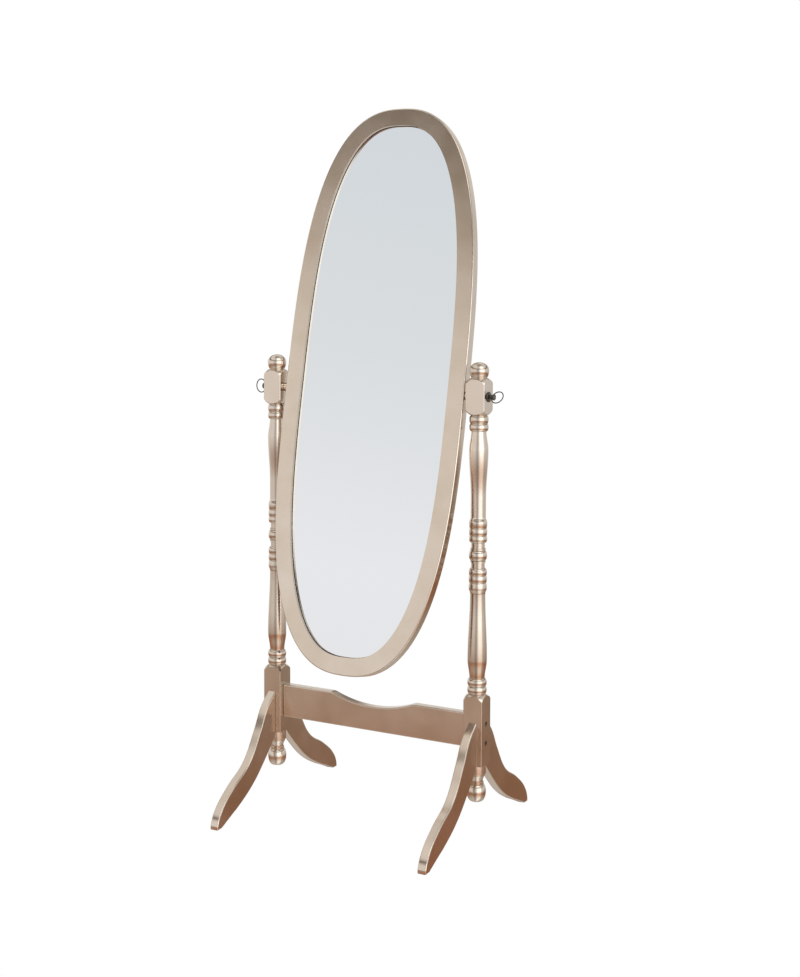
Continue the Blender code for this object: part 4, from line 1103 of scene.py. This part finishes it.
# ---------------------------------------------------------------- operators, one for each piece
class MIRROR_OT_frame(bpy.types.Operator):
    """Sweep the oval frame's moulding and bore it for its fixings"""

    bl_idname = "mirror.frame"
    bl_label = "Oval frame"

    def execute(self, context):
        sizes = context.scene.mirror_sizes
        curve = bpy.data.curves.new("moulding_section", "CURVE")
        curve.dimensions = "2D"
        spline = curve.splines.new("POLY")
        points = moulding_section()
        spline.points.add(len(points) - 1)
        for knot, (inward, depth) in zip(spline.points, points):
            knot.co = (-inward, -depth, 0.0, 1.0)
        spline.use_cyclic_u = True
        section = new_object("moulding_section", curve)
        made = grown(
            "oval_frame",
            bpy.data.meshes.new("seed"),
            moulding_tree(),
            {
                "Width": sizes.oval_width,
                "Height": sizes.oval_height,
                "End fullness": sizes.end_fullness,
                "Side fullness": sizes.side_fullness,
                "Points": OVAL_POINTS,
                "Section": section,
                "Finish": finish_named("champagne_lacquer"),
            },
        )
        bpy.data.objects.remove(section, do_unlink=True)
        placed(made.data, tilted())
        shape = bmesh.new()
        shape.from_mesh(made.data)
        bmesh.ops.recalc_face_normals(shape, faces=shape.faces)
        shape.to_mesh(made.data)
        shape.free()

        cutters = []
        for side, out in SIDES:
            mouth = aim((out * sizes.oval_width / 2, 0.0, PIVOT_HEIGHT), (out, 0, 0))
            cutters.append(hole(mouth, (INSERT_RADIUS + GAP, INSERT_LENGTH + 2 * GAP)))
        back = depths()["back"] + GAP + CLIP_PLATE
        for share in CLIP_PLACES:
            point, inward = oval_place(share, sizes.frame_face - REBATE_WIDTH)
            at = point - CLIP_SCREW_INSET * inward
            mouth = tilted() @ aim((at.x, at.y, -back), (0, 0, -1))
            cutters.append(hole(mouth, (CLIP_SCREW_RADIUS + GAP, CLIP_SCREW_LENGTH + GAP), segments=16))
        cut(made, cutters)
        finish_piece(made, "champagne_lacquer", "mirror", ["mirror_frame"])
        return {"FINISHED"}


def oval_panel(name, front, thickness, slot, nodes):
    """A flat oval sheet in the rebate, from its front face backwards."""
    sizes = bpy.context.scene.mirror_sizes
    points = oval_ring(sizes.frame_face - REBATE_WIDTH + REBATE_PLAY, OVAL_POINTS // 2)
    mesh = outline_mesh([points], thickness / 2, SHEET_EDGE)
    placed(mesh, tilted() @ Matrix.Translation((0.0, 0.0, -(front + thickness / 2))))
    return piece(name, mesh, slot, "mirror", nodes)


class MIRROR_OT_glass(bpy.types.Operator):
    """Lay the mirror glass in the rebate"""

    bl_idname = "mirror.glass"
    bl_label = "Mirror glass"

    def execute(self, context):
        oval_panel("silvered_oval", depths()["glass"], GLASS_THICKNESS, "silvered_glass", ["mirror_glass"])
        return {"FINISHED"}


class MIRROR_OT_backing(bpy.types.Operator):
    """Close the back with its board, six clips and their screws"""

    bl_idname = "mirror.backing"
    bl_label = "Backing board and clips"

    def execute(self, context):
        sizes = context.scene.mirror_sizes
        at = depths()
        oval_panel("oval_backing", at["board"], BOARD_THICKNESS, "hardboard", ["backing_board"])

        carrier = bpy.data.meshes.new("clip_places")
        found = [oval_place(share, sizes.frame_face - REBATE_WIDTH) for share in CLIP_PLACES]
        carrier.from_pydata([(point.x, point.y, 0.0) for point, _ in found], [], [])
        inward = carrier.attributes.new("inward", "FLOAT_VECTOR", "POINT")
        for entry, (_, direction) in zip(inward.data, found):
            entry.vector = (direction.x, direction.y, 0.0)

        low, high = at["board_back"] + GAP, at["back"] + GAP
        riser = CLIP_OFFSET
        outline = [
            (-CLIP_FOOT, high),
            (riser, high),
            (riser, low),
            (riser + CLIP_TOE, low),
            (riser + CLIP_TOE, low + CLIP_PLATE),
            (riser + CLIP_PLATE, low + CLIP_PLATE),
            (riser + CLIP_PLATE, high + CLIP_PLATE),
            (-CLIP_FOOT, high + CLIP_PLATE),
        ]
        # The outline's depth turns to local -Z, and its thickness to local Y.
        clip_mesh = placed(
            outline_mesh([outline], CLIP_WIDTH / 2, CLIP_EDGE), Matrix.Rotation(-math.pi / 2, 4, "X")
        )
        clip = new_object("clip", clip_mesh)
        mouth = aim(clip_point(high + CLIP_PLATE), (0, 0, -1))
        cut(clip, [hole(mouth, (CLIP_SCREW_RADIUS + GAP, 2 * CLIP_PLATE))])

        end = GAP - CLIP_SCREW_LENGTH
        flat = 0.55 * CLIP_HEAD_RADIUS
        profile = [(0.0, CLIP_HEAD_HEIGHT), (flat, CLIP_HEAD_HEIGHT)]
        profile += arc(flat, CLIP_HEAD_HEIGHT, CLIP_HEAD_RADIUS, METAL_EDGE / 2, steps=8)
        profile += [(CLIP_HEAD_RADIUS, METAL_EDGE / 2), (CLIP_HEAD_RADIUS, 0.0)]
        profile += [(CLIP_SCREW_RADIUS, 0.0), (CLIP_SCREW_RADIUS, end + 2 * METAL_EDGE), (0.0, end)]
        screw_place = aim(clip_point(high + CLIP_PLATE + GAP), (0, 0, -1))
        screw = new_object("screw", lathe(profile, 32))
        half, reach = CLIP_SLOT_WIDTH / 2, CLIP_SLOT_LENGTH / 2
        deep, over = CLIP_HEAD_HEIGHT * 0.35, 2 * CLIP_HEAD_HEIGHT
        cross = [
            box_mesh((-reach, -half, deep), (reach, half, over)),
            box_mesh((-half, -reach, deep), (half, reach, over)),
        ]
        cut(screw, cross)
        placed(screw.data, screw_place)

        tree = fixing_tree()
        numbers = range(1, len(CLIP_PLACES) + 1)
        for name, source, node in (
            ("backing_clips", clip, "backing_clip_"),
            ("clip_screws", screw, "clip_screw_"),
        ):
            made = grown(
                name, carrier.copy(), tree, {"Fixing": source, "Finish": finish_named("zinc_steel")}
            )
            placed(made.data, tilted())
            finish_piece(made, "zinc_steel", "mirror", [f"{node}{number}" for number in numbers])
            bpy.data.objects.remove(source, do_unlink=True)
        return {"FINISHED"}


class MIRROR_OT_posts(bpy.types.Operator):
    """Turn the two posts from square stock and bore them"""

    bl_idname = "mirror.posts"
    bl_label = "Turned posts"

    def execute(self, context):
        soft = context.scene.mirror_sizes.post_round
        half = POST_SIZE / 2
        for side, out in SIDES:
            x = out * POST_X
            made = new_object(side + "_turned_post", lathe(post_profile(), TURNING_STEPS))
            stock = new_object(
                "stock",
                box_mesh((-half, -half, LOWER_BLOCK_BOTTOM / 2), (half, half, POST_HIGH.z + half)),
            )
            bevel = stock.modifiers.new("soft_edges", "BEVEL")
            bevel.width = soft
            bevel.segments = ROUND_SEGMENTS
            square = evaluated_mesh(stock)
            bpy.data.objects.remove(stock, do_unlink=True)
            cut(made, [square], "INTERSECT")
            placed(made.data, Matrix.Translation((x, 0.0, 0.0)))

            pivot = aim((out * POST_OUTER, 0.0, PIVOT_HEIGHT), (out, 0, 0))
            through = POST_SIZE + OVERSHOOT
            cutters = [hole(pivot, (STUD_RADIUS + GAP, through))]
            for height in BOLT_HEIGHTS:
                mouth = aim((out * POST_OUTER, 0.0, height), (out, 0, 0))
                head = (BOLT_HEAD_RADIUS + GAP, BOLT_SINK + BOLT_HEAD_HEIGHT + GAP)
                cutters.append(hole(mouth, head, (BOLT_RADIUS + GAP, through), segments=SMALL_STEPS))
            for face in (-1, 1):
                for height in DOWEL_HEIGHTS:
                    mouth = aim((x, face * half, height), (0, face, 0))
                    cutters.append(hole(mouth, (DOWEL_RADIUS + GAP, DOWEL_IN_POST + GAP)))
            mouth = aim((x, 0.0, LOWER_BLOCK_BOTTOM), (0, 0, -1))
            cutters.append(hole(mouth, (TENON_RADIUS + GAP, TENON_LENGTH + GAP)))
            cut(made, cutters)
            finish_piece(made, "champagne_lacquer", "stand", [side + "_post"])
        return {"FINISHED"}


class MIRROR_OT_finials(bpy.types.Operator):
    """Turn the finials that hang under the posts"""

    bl_idname = "mirror.finials"
    bl_label = "Foot finials"

    def execute(self, context):
        for side, out in SIDES:
            mesh = lathe(finial_profile(), TURNING_STEPS)
            placed(mesh, Matrix.Translation((out * POST_X, 0.0, 0.0)))
            piece(side + "_turned_finial", mesh, "champagne_lacquer", "stand", [side + "_foot_finial"])
        return {"FINISHED"}


class MIRROR_OT_legs(bpy.types.Operator):
    """Saw and round the four legs, and bore them for their dowels"""

    bl_idname = "mirror.legs"
    bl_label = "Legs"

    def execute(self, context):
        soft = context.scene.mirror_sizes.board_round
        for side, out in SIDES:
            x = out * POST_X
            for label, face in (("front", -1), ("rear", 1)):
                # Local X runs outwards from the post, local Y upwards, local Z across the board.
                place = Matrix.Translation((x, face * LEG_START, 0.0)) @ Matrix(
                    ((0, 0, face, 0), (face, 0, 0, 0), (0, 1, 0, 0), (0, 0, 0, 1))
                )
                mesh = outline_mesh([leg_outline()], LEG_THICKNESS / 2, soft, smooth=True)
                made = new_object(f"{side}_{label}_shaped_leg", placed(mesh, place))
                in_leg = DOWEL_LENGTH - DOWEL_IN_POST
                mouths = [aim((x, face * LEG_START, z), (0, -face, 0)) for z in DOWEL_HEIGHTS]
                cut(made, [hole(mouth, (DOWEL_RADIUS + GAP, in_leg + GAP)) for mouth in mouths])
                finish_piece(made, "champagne_lacquer", "stand", [f"{side}_{label}_leg"])
        return {"FINISHED"}


class MIRROR_OT_stretcher(bpy.types.Operator):
    """Shape the stretcher between the posts and bore it for its bolts and nuts"""

    bl_idname = "mirror.stretcher"
    bl_label = "Stretcher"

    def execute(self, context):
        soft = context.scene.mirror_sizes.board_round
        mesh = outline_mesh([stretcher_outline()], STRETCHER_THICKNESS / 2, soft)
        upright = Matrix(((1, 0, 0, 0), (0, 0, -1, 0), (0, 1, 0, 0), (0, 0, 0, 1)))
        made = new_object("dipped_stretcher", placed(mesh, upright))
        cutters = []
        for side, out in SIDES:
            for height in BOLT_HEIGHTS:
                deep = NUT_INSET + NUT_RADIUS + BOLT_END + GAP
                mouth = aim((out * STRETCHER_END, 0.0, height), (out, 0, 0))
                cutters.append(hole(mouth, (BOLT_RADIUS + GAP, deep)))
                mouth = aim((nut_x(out), STRETCHER_THICKNESS / 2, height), (0, 1, 0))
                deep = STRETCHER_THICKNESS / 2 + NUT_LENGTH / 2 + GAP
                cutters.append(hole(mouth, (NUT_RADIUS + GAP, deep), segments=SMALL_STEPS))
        cut(made, cutters)
        finish_piece(made, "champagne_lacquer", "stand", ["stretcher"])
        return {"FINISHED"}


def nut_x(out):
    return out * (STRETCHER_END - NUT_INSET)


class MIRROR_OT_bolts(bpy.types.Operator):
    """Turn the stretcher's socket bolts and the barrel nuts they pull on"""

    bl_idname = "mirror.bolts"
    bl_label = "Bolts and barrel nuts"

    def execute(self, context):
        edge = METAL_EDGE
        top = POST_OUTER - BOLT_SINK
        tip = top - (STRETCHER_END - NUT_INSET - NUT_RADIUS - BOLT_END)
        bolt = [(0.0, 0.0), (BOLT_HEAD_RADIUS - edge, 0.0), (BOLT_HEAD_RADIUS, -edge)]
        bolt += [(BOLT_HEAD_RADIUS, -BOLT_HEAD_HEIGHT), (BOLT_RADIUS, -BOLT_HEAD_HEIGHT)]
        bolt += [(BOLT_RADIUS, edge - tip), (BOLT_RADIUS - edge, -tip), (0.0, -tip)]
        half = NUT_LENGTH / 2
        nut = [(0.0, half), (NUT_RADIUS - edge, half), (NUT_RADIUS, half - edge)]
        nut += [(NUT_RADIUS, edge - half), (NUT_RADIUS - edge, -half), (0.0, -half)]
        for side, out in SIDES:
            for label, height in zip(("lower", "upper"), BOLT_HEIGHTS):
                name = f"{side}_{label}_"
                made = new_object(name + "socket_bolt", lathe(bolt, SMALL_STEPS))
                socket = lathe(
                    [
                        (0.0, BOLT_SOCKET_DEPTH),
                        (BOLT_SOCKET_RADIUS, BOLT_SOCKET_DEPTH),
                        (BOLT_SOCKET_RADIUS, -BOLT_SOCKET_DEPTH),
                        (0.0, -BOLT_SOCKET_DEPTH),
                    ],
                    6,
                )
                cut(made, [socket])
                placed(made.data, aim((out * top, 0.0, height), (out, 0, 0)))
                finish_piece(made, "black_steel", "stand", [name + "bolt"])

                made = new_object(name + "cross_nut", lathe(nut, SMALL_STEPS))
                slot = NUT_SLOT_WIDTH / 2
                over = 2 * NUT_RADIUS
                cutters = [box_mesh((-slot, -over, half - NUT_SLOT_DEPTH), (slot, over, half + edge))]
                mouth = aim((NUT_RADIUS, 0.0, 0.0), (1, 0, 0))
                cutters.append(hole(mouth, (BOLT_RADIUS + GAP, 2 * NUT_RADIUS + OVERSHOOT)))
                cut(made, cutters)
                placed(made.data, aim((nut_x(out), 0.0, height), (0, 1, 0)))
                finish_piece(made, "zinc_steel", "stand", [name + "barrel_nut"])
        return {"FINISHED"}


class MIRROR_OT_knobs(bpy.types.Operator):
    """Make each pivot: spacer, washer, stud with its collar, and ring"""

    bl_idname = "mirror.knobs"
    bl_label = "Pivots and knobs"

    def execute(self, context):
        sizes = context.scene.mirror_sizes
        bore = STUD_RADIUS + GAP
        edge = METAL_EDGE
        side_gap = POST_INNER - sizes.oval_width / 2
        length = side_gap - 2 * GAP
        spacer = [(bore, 0.0), (SPACER_RADIUS - WOOD_EDGE, 0.0)]
        spacer += arc(SPACER_RADIUS - WOOD_EDGE, 0.0, SPACER_RADIUS, -WOOD_EDGE, steps=4)
        spacer += arc(SPACER_RADIUS, WOOD_EDGE - length, SPACER_RADIUS - WOOD_EDGE, -length, True, 4)
        spacer += [(SPACER_RADIUS - WOOD_EDGE, -length), (bore, -length), (bore, 0.0)]
        dome = WASHER_DOME
        washer = [(bore, dome)] + arc(STEM_RADIUS, dome, WASHER_RADIUS, WASHER_RIM, steps=10)
        washer += [(WASHER_RADIUS, WASHER_RIM), (WASHER_RADIUS, 0.0), (bore, 0.0), (bore, dome)]
        tip = -(POST_SIZE + side_gap + STUD_IN_FRAME)
        stem = GAP + WASHER_DOME + GAP
        collar = KNOB_LENGTH - COLLAR_LENGTH
        dish = KNOB_LENGTH - COLLAR_DISH
        stud = [(0.0, dish), (COLLAR_RADIUS - COLLAR_RIM, dish)]
        stud += [(COLLAR_RADIUS - COLLAR_RIM + edge, KNOB_LENGTH)]
        stud += arc(COLLAR_RADIUS - edge, KNOB_LENGTH, COLLAR_RADIUS, KNOB_LENGTH - edge, steps=5)
        stud += arc(COLLAR_RADIUS, collar + edge, COLLAR_RADIUS - edge, collar, True, 5)
        stud += [(COLLAR_RADIUS - edge, collar), (STEM_RADIUS, collar), (STEM_RADIUS, stem)]
        stud += [(STUD_RADIUS, stem), (STUD_RADIUS, tip + edge), (STUD_RADIUS - edge, tip), (0.0, tip)]
        tree = ring_tree()

        for side, out in SIDES:
            inner_end = aim((out * (POST_INNER - GAP), 0.0, PIVOT_HEIGHT), (out, 0, 0))
            mesh = placed(lathe(spacer, SMALL_STEPS), inner_end)
            piece(side + "_wood_bush", mesh, "champagne_lacquer", "stand", [side + "_spacer"])
            outer = aim((out * (POST_OUTER + GAP), 0.0, PIVOT_HEIGHT), (out, 0, 0))
            mesh = placed(lathe(washer, SMALL_STEPS), outer)
            piece(side + "_domed_washer", mesh, "black_steel", "stand", [side + "_knob_washer"])

            turn = sizes.left_ring_turn if side == "left" else sizes.right_ring_turn
            axis = aim((out * POST_OUTER, 0.0, PIVOT_HEIGHT), (out, 0, 0), turn)
            # The ring's own plane is local YZ, its length along the stud.
            middle = axis @ Matrix.Translation((0.0, 0.0, sizes.ring_reach - sizes.ring_along / 2))
            lying = middle @ Matrix(((0, 0, 1, 0), (1, 0, 0, 0), (0, 1, 0, 0), (0, 0, 0, 1)))
            rings = []
            for wire in (sizes.ring_wire, sizes.ring_wire + GAP):
                grow = 2 * (wire - sizes.ring_wire)
                values = {
                    "Along": sizes.ring_along + grow,
                    "Across": sizes.ring_across + grow,
                    "Wire radius": wire,
                    "Finish": finish_named("black_steel"),
                }
                ring = grown(side + "_wire_ring", bpy.data.meshes.new("seed"), tree, values)
                placed(ring.data, lying)
                rings.append(ring)
            made = new_object(side + "_collared_stud", placed(lathe(stud, SMALL_STEPS), axis))
            cut(made, [rings[1].data.copy()])
            bpy.data.objects.remove(rings[1], do_unlink=True)
            body = side + "_knob"
            finish_piece(made, "black_steel", body, [side + "_knob_stud"])
            finish_piece(rings[0], "black_steel", body, [side + "_knob_ring"])
        return {"FINISHED"}


class MIRROR_OT_fixings(bpy.types.Operator):
    """Give the dowels and the threaded inserts their finishes"""

    bl_idname = "mirror.fixings"
    bl_label = "Dowels and inserts"

    def execute(self, context):
        for name, node in frame["nodes"].items():
            for ending, slot in (("_dowel", "beech_dowel"), ("_frame_insert", "brass_insert")):
                if name.endswith(ending):
                    for place in node.material_slots:
                        place.material = finish_named(slot)
        return {"FINISHED"}


def studio_world():
    """White for the camera, a lit room for satin reflections, and a pale sky for the glass's."""
    world = bpy.data.worlds.new("studio")
    world.use_nodes = True
    tree = world.node_tree
    tree.nodes.clear()
    direction = add(tree, "ShaderNodeTexCoord").outputs["Generated"]
    way = add(tree, "ShaderNodeSeparateXYZ", links={0: direction}).outputs
    rise = add(tree, MATH, {"operation": "ARCSINE"}, links={0: way["Z"]})
    quarter, half = math.pi / 2, math.pi
    upright = {"From Min": -quarter, "From Max": quarter}
    height = add(tree, MAP_RANGE, values=upright, links={"Value": rise})
    ahead = add(tree, MATH, MULTIPLY, {1: -1.0}, {0: way["Y"]})
    heading = add(tree, MATH, {"operation": "ARCTAN2"}, links={0: way["X"], 1: ahead})
    around = {"From Min": -half, "From Max": half}
    bearing = add(tree, MAP_RANGE, values=around, links={"Value": heading})

    by_height = [((degrees + 90) / 180, colour) for degrees, colour in ROOM_BY_HEIGHT]
    by_bearing = [((degrees + 180) / 360, colour) for degrees, colour in ROOM_BY_BEARING]
    by_sky = [((degrees + 90) / 180, linear(code)) for degrees, code in SKY_BY_HEIGHT]
    room = add(tree, RAMP, links={"Fac": height}, stops=by_height)
    walls = add(tree, RAMP, links={"Fac": bearing}, stops=by_bearing)
    sky = add(tree, RAMP, links={"Fac": height}, stops=by_sky)
    product = {"data_type": "RGBA", "blend_type": "MULTIPLY"}
    lit = add(tree, "ShaderNodeMix", product, {0: 1.0}, {6: room, 7: walls}).outputs[2]
    rays = add(tree, "ShaderNodeLightPath").outputs
    room_light = add(tree, BACKGROUND, values={"Strength": ROOM_STRENGTH}, links={"Color": lit})
    sky_light = add(tree, BACKGROUND, values={"Strength": 1.0}, links={"Color": sky})
    white = add(tree, BACKGROUND, values={"Color": (1, 1, 1, 1), "Strength": 1.0})
    clear = {0: rays["Is Singular Ray"], 1: room_light, 2: sky_light}
    reflected = add(tree, MIX_SHADER, links=clear)
    seen = add(tree, MIX_SHADER, links={0: rays["Is Camera Ray"], 1: reflected, 2: white})
    add(tree, "ShaderNodeOutputWorld", links={"Surface": seen})
    return world


def studio_camera():
    """The camera, set by its place, heading, dip and roll."""
    angles = (CAMERA_HEADING, CAMERA_DIP, CAMERA_ROLL)
    heading, dip, roll = (math.radians(degrees) for degrees in angles)
    forward = Vector(
        (-math.sin(heading) * math.cos(dip), math.cos(heading) * math.cos(dip), -math.sin(dip))
    )
    right = Vector((math.cos(heading), math.sin(heading), 0.0))
    up = right.cross(forward)
    x_axis = math.cos(roll) * right + math.sin(roll) * up
    y_axis = math.cos(roll) * up - math.sin(roll) * right
    turn = Matrix((x_axis, y_axis, -forward)).transposed().to_4x4()
    data = bpy.data.cameras.new("studio_camera")
    data.lens = CAMERA_LENS
    data.shift_x, data.shift_y = CAMERA_SHIFT
    camera = new_object("studio_camera", data)
    camera.matrix_world = Matrix.Translation(CAMERA_PLACE) @ turn
    return camera


class MIRROR_OT_stage(bpy.types.Operator):
    """Set the white floor, the studio's light and the camera"""

    bl_idname = "mirror.stage"
    bl_label = "Stage, light and camera"

    def execute(self, context):
        scene = context.scene
        scene.world = studio_world()
        scene.view_settings.view_transform = "Standard"

        half = FLOOR_SIZE / 2
        mesh = bpy.data.meshes.new("white_floor")
        corners = [(-half, -half), (half, -half), (half, half), (-half, half)]
        mesh.from_pydata([(x, y, -FLOOR_DROP) for x, y in corners], [], [(0, 1, 2, 3)])
        floor = new_object("white_floor", mesh)
        made = bpy.data.materials.new("lit_white_floor")
        made.use_nodes = True
        tree = made.node_tree
        tree.nodes.clear()
        light = {"Color": (*scene.mirror_finishes.floor, 1.0), "Strength": 1.0}
        glow = add(tree, "ShaderNodeEmission", values=light)
        add(tree, "ShaderNodeOutputMaterial", links={"Surface": glow})
        mesh.materials.append(made)
        floor.visible_glossy = False
        floor.visible_diffuse = False
        scene.camera = studio_camera()
        return {"FINISHED"}


class MIRROR_PT_panel(bpy.types.Panel):
    """The mirror's sizes, finishes and pieces, in the sidebar"""

    bl_idname = "MIRROR_PT_panel"
    bl_label = "Cheval Floor Mirror"
    bl_space_type = "VIEW_3D"
    bl_region_type = "UI"
    bl_category = "Mirror"

    def draw(self, context):
        for group in (context.scene.mirror_sizes, context.scene.mirror_finishes):
            box = self.layout.box()
            for name in group.__annotations__:
                box.prop(group, name)
        for operator in OPERATORS:
            self.layout.operator(operator.bl_idname)


OPERATORS = (
    MIRROR_OT_frame,
    MIRROR_OT_glass,
    MIRROR_OT_backing,
    MIRROR_OT_posts,
    MIRROR_OT_finials,
    MIRROR_OT_legs,
    MIRROR_OT_stretcher,
    MIRROR_OT_bolts,
    MIRROR_OT_knobs,
    MIRROR_OT_fixings,
    MIRROR_OT_stage,
)
CLASSES = (MirrorSizes, MirrorFinishes, *OPERATORS, MIRROR_PT_panel)


def register():
    for cls in CLASSES:
        bpy.utils.register_class(cls)
    bpy.types.Scene.mirror_sizes = bpy.props.PointerProperty(type=MirrorSizes)
    bpy.types.Scene.mirror_finishes = bpy.props.PointerProperty(type=MirrorFinishes)


def unregister():
    del bpy.types.Scene.mirror_finishes
    del bpy.types.Scene.mirror_sizes
    for cls in reversed(CLASSES):
        bpy.utils.unregister_class(cls)


def main():
    register()
    bpy.ops.mirror.frame()
    bpy.ops.mirror.glass()
    bpy.ops.mirror.backing()
    bpy.ops.mirror.posts()
    bpy.ops.mirror.finials()
    bpy.ops.mirror.legs()
    bpy.ops.mirror.stretcher()
    bpy.ops.mirror.bolts()
    bpy.ops.mirror.knobs()
    bpy.ops.mirror.fixings()
    bpy.ops.mirror.stage()


if __name__ == "__main__":
    main()
